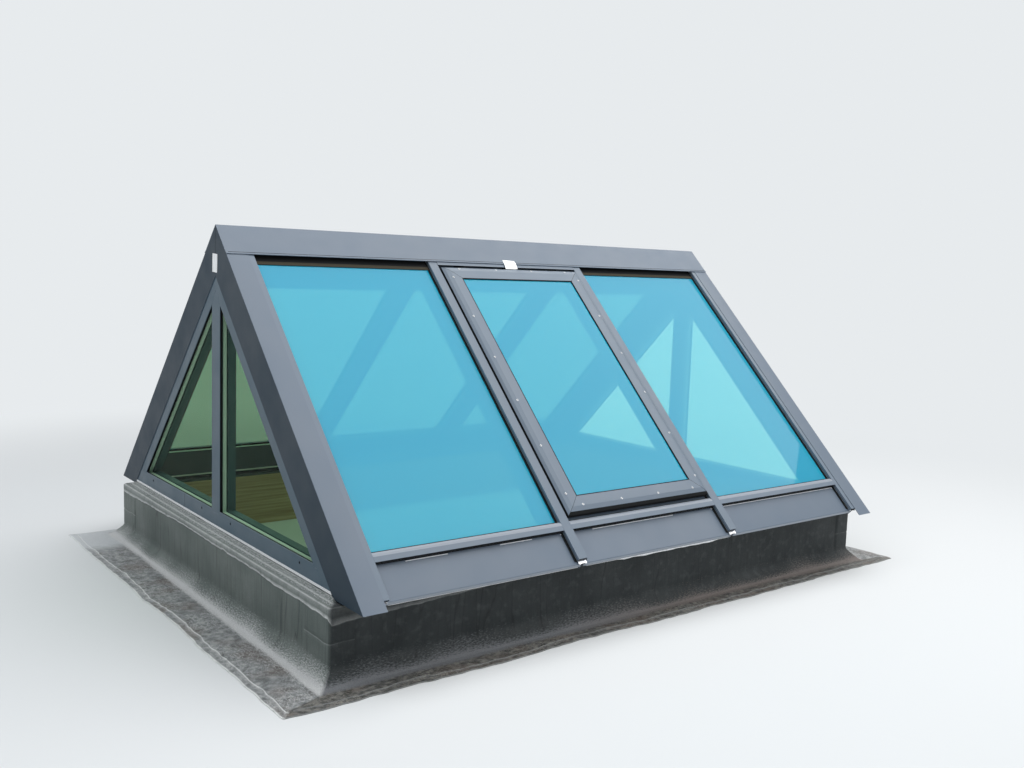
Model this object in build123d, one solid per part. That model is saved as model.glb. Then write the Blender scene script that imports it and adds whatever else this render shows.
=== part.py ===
from build123d import *
import os
from math import cos, pi, radians, sin, sqrt

# Ridge roof lantern with one top-hung vent, standing on a felt-clad upstand.
# X runs along the ridge, the vent is on the slope that faces -Y, +Z is up.
# The origin is at the middle of the underside.

# Overall form
PITCH = 45.0              # slope of both sides, degrees
LENGTH = 3200.0           # over the verge sheets
HALF_WIDTH = 1262.0       # middle line to the outer face of the eave beam
EAVE_FACE_H = 70.0        # height of that face
EDGE_RAFTER_INSET = 107.0  # verge face to the centre of the edge rafter
VENT_BAY = 986.0          # between the centres of the two middle rafters

# Upstand
CURB_H = 303.0
CURB_T = 120.0
CURB_PAST_VERGE = 43.0    # boards, past the verge sheet
CURB_BEHIND_BEAM = 1.0    # boards, inside the face of the eave beam
FELT_T = 5.0
CANT = 62.0               # leg of the three-cornered fillet at the foot
FELT_PAST_EAVE = 190.0    # felt carried out over the roof, from the boards
FELT_PAST_GABLE = 280.0

# Bearing between upstand and frame
SEAL_H = 20.0
SEAL_SETBACK = 6.0
PLATE_H = 8.0

# Slope build-up, from the caps inwards
CAP_W = 50.0
CAP_H = 16.0
SHEET_T = 2.0
PRESS_T = 4.0
PRESS_W = 46.0
GASKET_T = 4.0
GASKET_W = 34.0           # reach of the outer gasket from the rafter's centre
LITE_T = 6.0
CAVITY = 16.0
SEAT_T = 6.0
RAFTER_W = 50.0
RAFTER_D = 90.0
RAFTER_WALL = 3.0
NIB_W = 10.0              # screw rib between two panes
EDGE_GAP = 3.0            # rib to pane
JOINT = 1.0               # open joint between two lengths
OVER = 1.0                # how far a cutting solid runs past what it cuts

# Down the slope from the ridge line
RIDGE_LEG = 184.0
RIDGE_HEM = 12.0
SEAL_TOP = 100.0
SEAL_LAP = 38.0           # ridge seal, past the ridge cap
PANE_TOP = 130.0

# Up and down the slope from the eave's screw rib
EAVE_RIB_BACK = 46.8      # rib, up from the outer corner of the eave beam
EAVE_CAP_UP = 20.0
EAVE_CAP_W = 45.0
EAVE_BEVEL = (11.0, 6.0)
EAVE_GASKET_UP = 10.0     # above the eave cap
APRON_L = 184.0
APRON_LIP = 12.0
CORE_BACK = 18.0          # apron core ends short of the lip
CAP_BACK = 12.0           # middle caps end short of the apron
EDGE_CAP_PAST = 3.0       # edge caps end past the apron
RIB_PAST = 4.0            # screw ribs and pressure plates end past the apron

# Ridge and eave beams
RIDGE_BEAM_HALF = 64.0
RIDGE_BEAM_DROP = 10.0    # below the rafters' inner corner
EAVE_BEAM_T = 62.0
BEAM_WALL = 4.0

# Gable frame
GABLE_SETBACK = 3.0       # behind the verge face
STILE_DROP = 8.0          # outer face of the stile, above the rafters' inner face
STILE_W = 70.0
GLAZING_FLANGE = 14.0
FLANGE_T = 3.0
RAIL_H = 75.0
MULLION_W = 100.0
GLASS_RECESS = 12.0
PANE_TUCK = 12.0          # pane edge behind the sight line
GABLE_SPACER_INSET = 2.0
GABLE_GASKET_BACK = 2.0   # behind the sight line
WEEP = (14.0, 5.0)
WEEP_FROM_MULLION = 131.0
WEEP_FROM_END = 359.0     # from the face of the eave beam
WEEP_UP = 48.0            # above the rail's underside
RAIL_SEAM_Y = 418.0

# Verge sheets
VERGE_TOP_W = 105.0
VERGE_LEG = 163.0
VERGE_FOOT_UP = 8.0       # above the felt on the upstand

# Spacer bars in the sealed panes of the slopes
SPACER_INSET = 12.0
SPACER_W = 7.0

# Vent sash; e is measured inwards from its outer edge
SASH_SIDE_GAP = 8.0       # to the rafter caps
SASH_HEAD_GAP = 42.0      # to the ridge cap
SASH_FOOT_GAP = 20.0      # to the eave cap
COVER_T = 3.0
COVER_SKIRT_D = 16.0
COVER_TOP_D = -20.0
COVER_BEVELS = ((0, 14.0), (12.0, 5.0))  # e, and how far below the top
COVER_FLAT_E = (34.0, 86.0)
SASH_FRAME_E = (22.0, 66.0, 108.0)
SASH_STEP_E = 36.0
SASH_STEP = 4.0
SASH_DEPTH = 40.0         # frame below the pane
SASH_WALL = 3.0
SASH_GLASS_E = 70.0
SASH_GASKET_E = (74.0, 88.0)
SASH_GASKET_T = 3.0

# Fixed vent frame
UPSTAND_E = (4.0, 16.0)
UPSTAND_TOP_D = 2.0
UPSTAND_H = 88.0
VENT_WALL = 3.0
VENT_SEAL_E = (6.0, 15.0)
VENT_SEAL_GAP = 0.4

# Hinges of the vent
HINGE_BACK = 9.0          # hinge line, up the slope from the sash
HINGE_OVER = 6.0          # hinge line, above the vent frame's flange
HINGE_X = (-320.0, 0.0, 320.0)
HINGE_W = 60.0
KNUCKLE_W = 20.0
KNUCKLE_R = 5.0
PIN_R = 2.5
PIN_PLAY = 0.05
KNUCKLE_PLAY = 0.4
LEAF_T = 3.4
LEAF_BACK = 27.0          # fixed leaf, up the slope from the hinge line
LEAF_GAP = 4.0            # fixed leaf to the ridge seal

# Chain drive
DRIVE_SIZE = (420.0, 45.0, 35.0)
DRIVE_GAP = (5.0, 2.0)    # to the upstand's inner face, and below it
DRIVE_FLOOR = 8.0
DRIVE_BRACKET_T = 6.0
DRIVE_BRACKET_IN = 40.0
DRIVE_BRACKET_DOWN = 20.0
DRIVE_MOUTH = (30.0, 14.0)
CHAIN_PLATE = (60.0, 30.0, 4.0)
CHAIN_TONGUE_W = 16.0
CHAIN_GAP = 1.0

# Worked-out heights
SIN, COS = sin(radians(PITCH)), cos(radians(PITCH))
FELT_TOP = CURB_H + FELT_T
PLATE_Z = FELT_TOP + SEAL_H
BASE_Z = PLATE_Z + PLATE_H

# Worked-out depths below the top of the caps
D_PRESS = CAP_H
D_GASKET = D_PRESS + PRESS_T
D_GLASS = D_GASKET + GASKET_T
PANE_T = 2 * LITE_T + CAVITY
D_SEAT = D_GLASS + PANE_T
D_RAFTER = D_SEAT + SEAT_T
D_INNER = D_RAFTER + RAFTER_D
D_STILE_OUT = D_INNER - STILE_DROP
D_STILE_IN = D_STILE_OUT + STILE_W
RIDGE_Z = BASE_Z + EAVE_FACE_H + HALF_WIDTH * SIN / COS + D_RAFTER / COS

# Worked-out places along X and Y
HALF = LENGTH / 2
CURB_X = LENGTH + 2 * CURB_PAST_VERGE
CURB_Y = 2 * (HALF_WIDTH - CURB_BEHIND_BEAM)
BEAM_IN = HALF_WIDTH - EAVE_BEAM_T
EDGE_X = HALF - EDGE_RAFTER_INSET
RAFTERS = (-EDGE_X, -VENT_BAY / 2, VENT_BAY / 2, EDGE_X)
BAYS = tuple(zip(RAFTERS, RAFTERS[1:]))
VENT_INDEX = 1
GABLE_OUT = HALF - GABLE_SETBACK
GABLE_IN = EDGE_X + RAFTER_W / 2
WEEP_Y = (MULLION_W / 2 + WEEP_FROM_MULLION, HALF_WIDTH - WEEP_FROM_END)


def slope_point(s, d):
    """World y and z of a point s down the front slope and d below the caps."""
    return (-s * COS + d * SIN, RIDGE_Z - s * SIN - d * COS)


def slope_s(y, d):
    """Distance down the front slope of the point at depth d above plan line y."""
    return (d * SIN - y) / COS


# Worked-out distances down the slope
EAVE_RIB = slope_s(-HALF_WIDTH, D_RAFTER) - EAVE_RIB_BACK
PANE_END = EAVE_RIB - EDGE_GAP
APRON_START = EAVE_RIB + NIB_W
APRON_END = EAVE_RIB + APRON_L
EAVE_CAP_TOP = EAVE_RIB - EAVE_CAP_UP
CAP_END = APRON_END - CAP_BACK
EDGE_CAP_END = APRON_END + EDGE_CAP_PAST
RIB_END = APRON_END + RIB_PAST
SEAL_END = RIDGE_LEG + SEAL_LAP
SASH_TOP = RIDGE_LEG + SASH_HEAD_GAP
SASH_END = EAVE_CAP_TOP - SASH_FOOT_GAP
HINGE_S = SASH_TOP - HINGE_BACK

# Worked-out sizes of the vent
SASH_HALF = VENT_BAY / 2 - CAP_W / 2 - SASH_SIDE_GAP
VENT_FLANGE_X = VENT_BAY / 2 - NIB_W / 2 - EDGE_GAP
UPSTAND_D = (UPSTAND_TOP_D, UPSTAND_TOP_D + UPSTAND_H)
COVER_PATH = [(0, COVER_SKIRT_D)] + [(e, COVER_TOP_D + drop) for e, drop in COVER_BEVELS]
COVER_PATH += [(e, COVER_TOP_D) for e in COVER_FLAT_E]
SASH_TOP_D = COVER_TOP_D + COVER_T
SASH_GLASS_D = SASH_TOP_D + SASH_GASKET_T
SASH_SEAT_D = SASH_GLASS_D + PANE_T
SASH_UNDER_D = SASH_SEAT_D + SASH_DEPTH
HINGE_D = D_GASKET - HINGE_OVER
DRIVE_S = (SASH_END - UPSTAND_E[1] - DRIVE_GAP[0] - DRIVE_SIZE[1], SASH_END - UPSTAND_E[1] - DRIVE_GAP[0])
DRIVE_D = (UPSTAND_D[1] + DRIVE_GAP[1], UPSTAND_D[1] + DRIVE_GAP[1] + DRIVE_SIZE[2])
FRONT = Plane(origin=(0, 0, RIDGE_Z), x_dir=(1, 0, 0), z_dir=(0, -SIN, COS))


def prism(plane, points, depth, direction):
    """A straight prism of a polygon drawn on a plane."""
    return extrude(plane * Polygon(*points, align=None), amount=depth, dir=direction)


def along_slope(points, s0, s1):
    """Bar down the slope: the section's points are (x, d)."""
    plane = Plane(origin=(0, -s0, 0), x_dir=(1, 0, 0), z_dir=(0, -1, 0))
    return prism(plane, [(x, -d) for x, d in points], s1 - s0, (0, -1, 0))


def across_slope(points, x0, x1):
    """Bar across the slope: the section's points are (s, d)."""
    plane = Plane(origin=(x0, 0, 0), x_dir=(0, 1, 0), z_dir=(1, 0, 0))
    return prism(plane, [(-s, -d) for s, d in points], x1 - x0, (1, 0, 0))


def along_x(points, x0, x1):
    """World prism along X: the section's points are (y, z)."""
    plane = Plane(origin=(x0, 0, 0), x_dir=(0, 1, 0), z_dir=(1, 0, 0))
    return prism(plane, points, x1 - x0, (1, 0, 0))


def upright(points, z0, z1):
    """World prism along Z: the plan's points are (x, y)."""
    return prism(Plane(origin=(0, 0, z0)), points, z1 - z0, (0, 0, 1))


def rect(u0, u1, v0, v1):
    return [(u0, v0), (u1, v0), (u1, v1), (u0, v1)]


def block(x0, x1, y0, y1, z0, z1):
    return upright(rect(x0, x1, y0, y1), z0, z1)


def folded(path, thickness):
    """Outline of a sheet folded along a path, with its thickness on the left."""
    points = [Vector(u, v) for u, v in path]
    inner = []
    for i, point in enumerate(points):
        ways = [points[j + 1] - points[j] for j in (i - 1, i) if 0 <= j < len(points) - 1]
        normals = [Vector(-way.Y, way.X).normalized() for way in ways]
        mitre = normals[0] + normals[-1]
        inner.append(point + mitre * (thickness / mitre.dot(normals[0])))
    return [(p.X, p.Y) for p in points + inner[::-1]]


def on_front(shape):
    return FRONT.location * shape


def left_and_right(shape):
    """The left-hand gable's piece and the same piece turned to the right-hand one."""
    return shape, Rot(0, 0, 180) * shape


def group(shapes):
    return Compound(children=[solid for shape in shapes for solid in shape.solids()])


def bay_edges(bay, margin):
    return bay[0] + margin, bay[1] - margin


def curb_boards():
    x, y = CURB_X / 2, CURB_Y / 2
    long_board = block(-x, x, -y, -y + CURB_T, 0, CURB_H)
    end_board = block(-x, -x + CURB_T, -y + CURB_T, y - CURB_T, 0, CURB_H)
    return group([long_board, Rot(0, 0, 180) * long_board, *left_and_right(end_board)])


def mitred_side(section, half_length, half_depth):
    """One side of a ring round the boards: the section is (out from the board, z).

    The mitre ends at the outer edge of the eave felt. Felt that goes further out is cut square there.
    """
    end = half_length + FELT_PAST_EAVE
    mitre_end = -half_depth - FELT_PAST_EAVE
    far = min(mitre_end, -half_depth - max(u for u, z in section)) - OVER
    bar = along_x([(-half_depth - u, z) for u, z in section], -end, end)
    plan = [(-end, far), (end, far), (end, mitre_end), (half_length - CURB_T, -half_depth + CURB_T),
            (-half_length + CURB_T, -half_depth + CURB_T), (-end, mitre_end)]
    return bar & upright(plan, -OVER, CURB_H + FELT_T + OVER)


def ring_round_boards(eave_section, gable_section):
    front = mitred_side(eave_section, CURB_X / 2, CURB_Y / 2)
    side = Rot(0, 0, -90) * mitred_side(gable_section, CURB_Y / 2, CURB_X / 2)
    return group([front, Rot(0, 0, 180) * front, side, Rot(0, 0, 180) * side])


def cant_strips():
    section = [(0, 0), (CANT, 0), (0, CANT)]
    return ring_round_boards(section, section)


def felt_section(carried_out):
    path = [(carried_out, 0), (CANT, 0), (0, CANT), (0, CURB_H), (-CURB_T, CURB_H)]
    return folded(path, -FELT_T)


def curb_felt():
    return ring_round_boards(felt_section(FELT_PAST_EAVE), felt_section(FELT_PAST_GABLE))


def bearing_ring(height, setback, z):
    """Four straight bars under the gable rails and the eave beams."""
    end = block(-GABLE_OUT + setback, -GABLE_IN, -HALF_WIDTH + setback,
                HALF_WIDTH - setback, z, z + height)
    long = block(-GABLE_IN, GABLE_IN, -HALF_WIDTH + setback, -BEAM_IN, z, z + height)
    return group([*left_and_right(end), long, Rot(0, 0, 180) * long])


def base_seal():
    return bearing_ring(SEAL_H, SEAL_SETBACK, FELT_TOP)


def sill_plates():
    return bearing_ring(PLATE_H, 0, PLATE_Z)


def beam_top(depth):
    """Height over the middle line at which a slope of that depth would pass."""
    return RIDGE_Z - depth / COS


def eave_beam():
    outer, inner, top = HALF_WIDTH, BEAM_IN, beam_top(D_RAFTER)
    wall, skin = BEAM_WALL, BEAM_WALL / COS
    section = [(-outer, BASE_Z), (-inner, BASE_Z), (-inner, top - inner), (-outer, top - outer)]
    void = [(-outer + wall, BASE_Z + wall), (-inner - wall, BASE_Z + wall),
            (-inner - wall, top - skin - inner - wall), (-outer + wall, top - skin - outer + wall)]
    beam = along_x(section, -GABLE_IN, GABLE_IN) - along_x(void, -GABLE_IN - OVER, GABLE_IN + OVER)
    for bay in BAYS:
        x0, x1 = bay_edges(bay, GASKET_W + JOINT)
        rib = rect(EAVE_RIB, APRON_START - JOINT, D_GASKET, D_RAFTER)
        beam += on_front(across_slope(rib, x0, x1))
    return beam


def ridge_beam():
    half, top = RIDGE_BEAM_HALF, beam_top(D_RAFTER)
    bottom = beam_top(D_INNER) - half - RIDGE_BEAM_DROP
    wall, skin = BEAM_WALL, BEAM_WALL / COS
    section = [(-half, bottom), (half, bottom), (half, top - half), (0, top), (-half, top - half)]
    inside = half - wall
    void = [(-inside, bottom + wall), (inside, bottom + wall), (inside, top - skin - inside),
            (0, top - skin), (-inside, top - skin - inside)]
    return along_x(section, -GABLE_IN, GABLE_IN) - along_x(void, -GABLE_IN - OVER, GABLE_IN + OVER)


def rafter(centre):
    """Hollow bar with a screw rib, cut plumb at both beams; the rib runs on to the eave."""
    half, wall = RAFTER_W / 2, RAFTER_WALL
    far = slope_s(-BEAM_IN, D_INNER) + RAFTER_D
    tube = along_slope(rect(centre - half, centre + half, D_RAFTER, D_INNER), 0, far)
    tube -= along_slope(rect(centre - half + wall, centre + half - wall,
                             D_RAFTER + wall, D_INNER - wall), -OVER, far + OVER)
    span = block(centre - half, centre + half, -BEAM_IN, -RIDGE_BEAM_HALF, 0, RIDGE_Z)
    rib = along_slope(rect(centre - NIB_W / 2, centre + NIB_W / 2, D_GASKET, D_RAFTER), 0, RIB_END)
    behind_ridge = block(centre - half, centre + half, -NIB_W, LENGTH, 0, 2 * RIDGE_Z)
    return (on_front(tube) & span) + (on_front(rib) - behind_ridge)


def gable_line(depth, z):
    """Distance from the middle at which a line of that depth is at height z."""
    return beam_top(depth) - z


def stile_pair():
    """Two hollow stiles that meet in a plumb mitre under the ridge."""
    x0, x1 = -GABLE_OUT, -GABLE_IN
    wall = RAFTER_WALL
    outer, inner = D_STILE_OUT, D_STILE_IN
    body = [(0, beam_top(outer)), (-gable_line(outer, BASE_Z), BASE_Z),
            (-gable_line(inner, BASE_Z), BASE_Z), (0, beam_top(inner))]
    low = BASE_Z - OVER
    void = [(OVER, beam_top(outer + wall) + OVER), (-gable_line(outer + wall, low), low),
            (-gable_line(inner - wall, low), low), (OVER, beam_top(inner - wall) + OVER)]
    stile = along_x(body, x0, x1) - along_x(void, x0 + wall, x1 - wall)
    sight = inner + GLAZING_FLANGE
    foot = BASE_Z + RAIL_H - GLAZING_FLANGE
    clear = MULLION_W / 2 - GLAZING_FLANGE
    flange = [(-clear, beam_top(inner) - clear), (-gable_line(inner, foot), foot),
              (-gable_line(sight, foot), foot), (-clear, beam_top(sight) - clear)]
    stile += along_x(flange, x0, x0 + FLANGE_T)
    return stile


def mirrored_y(shape):
    return mirror(shape, about=Plane.XZ)


def gable_stiles():
    stile = stile_pair()
    return [group([side, other]) for side, other in
            zip(left_and_right(stile), left_and_right(mirrored_y(stile)))]


def gable_rail():
    x0, x1, wall = -GABLE_OUT, -GABLE_IN, RAFTER_WALL
    top, foot = BASE_Z + RAIL_H, BASE_Z + RAIL_H - GLAZING_FLANGE
    low_y, high_y = gable_line(D_STILE_IN, BASE_Z), gable_line(D_STILE_IN, foot)
    body = along_x([(-low_y, BASE_Z), (low_y, BASE_Z), (high_y, foot), (-high_y, foot)], x0, x1)
    body -= block(x0 + wall, x1 - wall, -2 * low_y, 2 * low_y, BASE_Z + wall, foot - wall)
    clear, sight = MULLION_W / 2 - GLAZING_FLANGE, D_STILE_IN + GLAZING_FLANGE
    lip = [(clear, foot), (gable_line(sight, foot), foot), (gable_line(sight, top), top), (clear, top)]
    body += along_x(lip, x0, x0 + FLANGE_T)
    body += along_x([(-y, z) for y, z in lip], x0, x0 + FLANGE_T)
    for y in (-WEEP_Y[1], -WEEP_Y[0], WEEP_Y[0], WEEP_Y[1]):
        slot = SlotOverall(WEEP[0], WEEP[1])
        plane = Plane(origin=(x0 - OVER, y, BASE_Z + WEEP_UP), x_dir=(0, 1, 0), z_dir=(1, 0, 0))
        body -= extrude(plane * slot, amount=wall + 2 * OVER, dir=(1, 0, 0))
    seam = block(x0 - OVER, x1 + OVER, RAIL_SEAM_Y, RAIL_SEAM_Y + JOINT, BASE_Z - OVER, top + OVER)
    return group([body - seam])


def mullion():
    x0, x1, wall = -GABLE_OUT, -GABLE_IN, RAFTER_WALL
    foot = BASE_Z + RAIL_H - GLAZING_FLANGE
    half, clear = MULLION_W / 2, MULLION_W / 2 - GLAZING_FLANGE
    peak = beam_top(D_STILE_IN)
    outline = [(-clear, foot), (clear, foot), (clear, peak - clear), (0, peak), (-clear, peak - clear)]
    body = along_x(outline, x0, x1)
    inside = clear - wall
    body -= along_x(rect(-inside, inside, foot - OVER, peak + OVER), x0 + wall, x1 - wall)
    sight = beam_top(D_STILE_IN + GLAZING_FLANGE)
    for side in (-1, 1):
        low = foot + GLAZING_FLANGE
        wing = [(clear, low), (half, low), (half, sight - half), (clear, sight - clear)]
        body += along_x([(side * y, z) for y, z in wing], x0, x0 + FLANGE_T)
    return body


def gable_triangle(grow):
    """Front half of the gable's daylight opening, grown on all three sides."""
    y = MULLION_W / 2 - grow
    z = BASE_Z + RAIL_H - grow
    line = beam_top(D_STILE_IN + GLAZING_FLANGE - grow)
    return [(-y, z), (-(line - z), z), (-y, line - y)]


def gable_layer(grow_out, grow_in, x0, x1):
    """A triangular plate, or a ring where grow_in is given, in both halves."""
    half = along_x(gable_triangle(grow_out), x0, x1)
    if grow_in is not None:
        half -= along_x(gable_triangle(grow_in), x0 - OVER, x1 + OVER)
    return [half, mirrored_y(half)]


def gable_levels():
    outer = -GABLE_OUT + GLASS_RECESS
    return outer, outer + LITE_T, outer + LITE_T + CAVITY, outer + PANE_T


def gable_pane():
    a, b, c, d = gable_levels()
    return group(gable_layer(PANE_TUCK, None, a, b) + gable_layer(PANE_TUCK, None, c, d))


def gable_spacers():
    a, b, c, d = gable_levels()
    inset = PANE_TUCK - GABLE_SPACER_INSET
    return gable_layer(inset, inset - SPACER_W, b, c)


def gable_gaskets():
    a, b, c, d = gable_levels()
    return gable_layer(PANE_TUCK, GABLE_GASKET_BACK, -GABLE_OUT + FLANGE_T, a)


def gable_beads():
    a, b, c, d = gable_levels()
    return gable_layer(GLAZING_FLANGE, 0, d, -GABLE_IN)


def both_gables(shapes):
    return group([turned for shape in shapes for turned in left_and_right(shape)])


def verge_filler():
    """Rigid insulation that carries the verge sheet, outside the edge rafter."""
    x0, x1, rib = -GABLE_OUT, -GABLE_IN, -EDGE_X - NIB_W / 2 - JOINT
    section = [(x0, 0), (x1, 0), (x1, D_GASKET), (rib, D_GASKET), (rib, D_RAFTER),
               (x1, D_RAFTER), (x1, D_STILE_OUT), (x0, D_STILE_OUT)]
    bar = on_front(along_slope(section, 0, LENGTH))
    return bar & block(-HALF, HALF, -LENGTH, 0, BASE_Z, 2 * RIDGE_Z)


def four_corners(shape):
    """Front left, and the same piece at the three other verges."""
    other = mirrored_y(shape)
    return [*left_and_right(shape), *left_and_right(other)]


def verge_sheet():
    path = [(-HALF + VERGE_TOP_W, 0), (-HALF + SHEET_T, 0), (-HALF + SHEET_T, VERGE_LEG)]
    bar = on_front(along_slope(folded(path, SHEET_T), 0, LENGTH))
    return bar & block(-HALF, HALF, -LENGTH, 0, FELT_TOP + VERGE_FOOT_UP, 2 * RIDGE_Z)


def ridge_cap():
    """One sheet folded over the ridge, with a hem turned back along both edges."""
    foot = slope_point(RIDGE_LEG, -SHEET_T)
    top = slope_point(-SHEET_T * SIN / COS, -SHEET_T)
    path = [(-foot[0], foot[1]), (0, top[1]), foot]
    sheet = along_x(folded(path, -SHEET_T), -HALF, HALF)
    hem = rect(RIDGE_LEG - RIDGE_HEM, RIDGE_LEG, -3 * SHEET_T, -2 * SHEET_T)
    hem = on_front(across_slope(hem, -HALF, HALF))
    return sheet + hem + Rot(0, 0, 180) * hem


def front_of_ridge(gap):
    return block(-HALF, HALF, -LENGTH, -gap, 0, 2 * RIDGE_Z)


def rafter_cap(centre):
    half = CAP_W / 2
    end = EDGE_CAP_END if abs(centre) == EDGE_X else CAP_END
    path = [(centre + half, CAP_H), (centre + half, 0), (centre - half, 0), (centre - half, CAP_H)]
    return on_front(along_slope(folded(path, -SHEET_T), 0, end)) & front_of_ridge(SHEET_T)


def pressure_plate(centre):
    section = rect(centre - PRESS_W / 2, centre + PRESS_W / 2, D_PRESS, D_GASKET)
    return on_front(along_slope(section, 0, RIB_END)) & front_of_ridge(NIB_W)


def eave_cap(bay):
    x0, x1 = bay_edges(bay, CAP_W / 2)
    top, end = EAVE_CAP_TOP, EAVE_CAP_TOP + EAVE_CAP_W
    path = [(top, CAP_H), (top, EAVE_BEVEL[1]), (top + EAVE_BEVEL[0], 0), (end, 0), (end, CAP_H)]
    return on_front(across_slope(folded(path, SHEET_T), x0, x1))


def eave_plate(bay):
    x0, x1 = bay_edges(bay, CAP_W / 2)
    section = rect(EAVE_CAP_TOP + SHEET_T, EAVE_CAP_TOP + EAVE_CAP_W - SHEET_T, D_PRESS, D_GASKET)
    return on_front(across_slope(section, x0, x1))


def is_vent(bay, front):
    return front and bay == BAYS[VENT_INDEX]


def slope_glass(bay, top, end, margin, depth):
    """The two lites of a sealed pane in the slope."""
    x0, x1 = bay_edges(bay, margin)
    outer = across_slope(rect(top, end, depth, depth + LITE_T), x0, x1)
    inner = across_slope(rect(top, end, depth + LITE_T + CAVITY, depth + PANE_T), x0, x1)
    return [on_front(outer), on_front(inner)]


def slope_pane(bay):
    return slope_glass(bay, PANE_TOP, PANE_END, NIB_W / 2 + EDGE_GAP, D_GLASS)


def spacer_ring(x0, x1, s0, s1, depth):
    inset, width = SPACER_INSET, SPACER_W
    ring = across_slope(rect(s0 + inset, s1 - inset, depth, depth + CAVITY), x0 + inset, x1 - inset)
    inset += width
    inside = rect(s0 + inset, s1 - inset, depth - OVER, depth + CAVITY + OVER)
    return on_front(ring - across_slope(inside, x0 + inset, x1 - inset))


def slope_spacer(bay):
    x0, x1 = bay_edges(bay, NIB_W / 2 + EDGE_GAP)
    return spacer_ring(x0, x1, PANE_TOP, PANE_END, D_GLASS + LITE_T)


def outer_gaskets():
    """Strips between pressure plates and glass, both sides of each rib."""
    near = NIB_W / 2 + JOINT
    strips = []
    for left, right in BAYS:
        for x0, x1 in ((left + near, left + GASKET_W), (right - GASKET_W, right - near)):
            strips.append(on_front(along_slope(rect(x0, x1, D_GASKET, D_GLASS), SEAL_END + JOINT, CAP_END)))
        x0, x1 = left + GASKET_W + JOINT, right - GASKET_W - JOINT
        above, below = (EAVE_CAP_TOP - EAVE_GASKET_UP, PANE_END), (APRON_START, EAVE_CAP_TOP + EAVE_CAP_W)
        for s0, s1 in (above, below):
            strips.append(on_front(across_slope(rect(s0, s1, D_GASKET, D_GLASS), x0, x1)))
    return strips


def seat_gaskets():
    """Strips that the panes and aprons rest on."""
    near, far = NIB_W / 2 + EDGE_GAP, RAFTER_W / 2
    top = PANE_TOP
    strips = []
    for left, right in BAYS:
        for x0, x1 in ((left + near, left + far), (right - far, right - near)):
            strips.append(on_front(along_slope(rect(x0, x1, D_SEAT, D_RAFTER), top, PANE_END)))
        x0, x1 = left + far + JOINT, right - far - JOINT
        beam_s0, beam_s1 = slope_s(-BEAM_IN, D_RAFTER), slope_s(-HALF_WIDTH, D_RAFTER)
        ridge_s = slope_s(-RIDGE_BEAM_HALF, D_RAFTER)
        for s0, s1 in ((top, ridge_s), (beam_s0, PANE_END), (APRON_START, beam_s1)):
            strips.append(on_front(across_slope(rect(s0, s1, D_SEAT, D_RAFTER), x0, x1)))
    return strips


def ridge_seal(bay, front):
    x0, x1 = bay_edges(bay, NIB_W / 2 + JOINT)
    end = HINGE_S - LEAF_BACK - LEAF_GAP if is_vent(bay, front) else SEAL_END
    return on_front(across_slope(rect(SEAL_TOP, end, D_GASKET, D_GLASS), x0, x1))


def apron_sheet(bay):
    x0, x1 = bay_edges(bay, NIB_W / 2 + EDGE_GAP)
    top, bend = slope_point(APRON_START, D_GLASS), slope_point(APRON_END, D_GLASS)
    path = [top, bend, (bend[0], bend[1] - APRON_LIP)]
    return along_x(folded(path, SHEET_T), x0, x1)


def apron_core(bay):
    x0, x1 = bay_edges(bay, NIB_W / 2 + EDGE_GAP)
    section = rect(APRON_START, APRON_END - CORE_BACK, D_GLASS + SHEET_T, D_SEAT)
    return on_front(across_slope(section, x0, x1))


def side_pair(shape):
    return [on_front(shape), on_front(mirror(shape, about=Plane.YZ))]


def vent_side():
    x0, x1 = -SASH_HALF + UPSTAND_E[0], -SASH_HALF + UPSTAND_E[1]
    s0, s1, wall = SASH_TOP + UPSTAND_E[0], SASH_END - UPSTAND_E[0], VENT_WALL
    low, high = UPSTAND_D
    bar = along_slope(rect(-VENT_FLANGE_X, x0, D_GLASS, D_SEAT), PANE_TOP, PANE_END - EDGE_GAP)
    hollow = rect(-VENT_FLANGE_X + wall, x0 - wall, D_GLASS + wall, D_SEAT - wall)
    bar -= along_slope(hollow, PANE_TOP - OVER, PANE_END)
    upstand = along_slope(rect(x0, x1, low, high), s0, s1)
    hollow = rect(x0 + wall, x1 - wall, low + wall, high - wall)
    return bar + upstand - along_slope(hollow, s0 - OVER, s1 + OVER)


def vent_cross(upstand, flange):
    """Head or foot of the fixed frame, from the two faces of its upstand and of its flange."""
    wall, (low, high) = VENT_WALL, UPSTAND_D
    wide, narrow = SASH_HALF - UPSTAND_E[0], SASH_HALF - UPSTAND_E[1]
    bar = across_slope(rect(*flange, D_GLASS, D_SEAT), -wide, wide)
    hollow = rect(flange[0] + wall, flange[1] - wall, D_GLASS + wall, D_SEAT - wall)
    bar -= across_slope(hollow, -wide - OVER, wide + OVER)
    post = across_slope(rect(*upstand, low, high), -narrow, narrow)
    hollow = rect(upstand[0] + wall, upstand[1] - wall, low + wall, high - wall)
    return on_front(bar + post - across_slope(hollow, -narrow - OVER, narrow + OVER))


def vent_frame():
    """Hollow upstand with an outer flange that is clamped in the glazing."""
    near, far = UPSTAND_E
    head = vent_cross((SASH_TOP + near, SASH_TOP + far), (PANE_TOP, SASH_TOP + near))
    foot = vent_cross((SASH_END - far, SASH_END - near), (SASH_END - near, PANE_END - EDGE_GAP))
    return group(side_pair(vent_side()) + [head, foot])


def sash_plan(e):
    """Plan rectangle of the sash at a distance e inside its outer edge."""
    return -SASH_HALF + e, SASH_HALF - e, SASH_TOP + e, SASH_END - e


def slab(points, d_low, d_high):
    """Plate parallel to the slope: the outline's points are (x, s)."""
    outline = Polygon(*[(x, -s) for x, s in points], align=None)
    return extrude(Plane(origin=(0, 0, -d_low)) * outline, amount=d_low - d_high, dir=(0, 0, 1))


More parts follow.
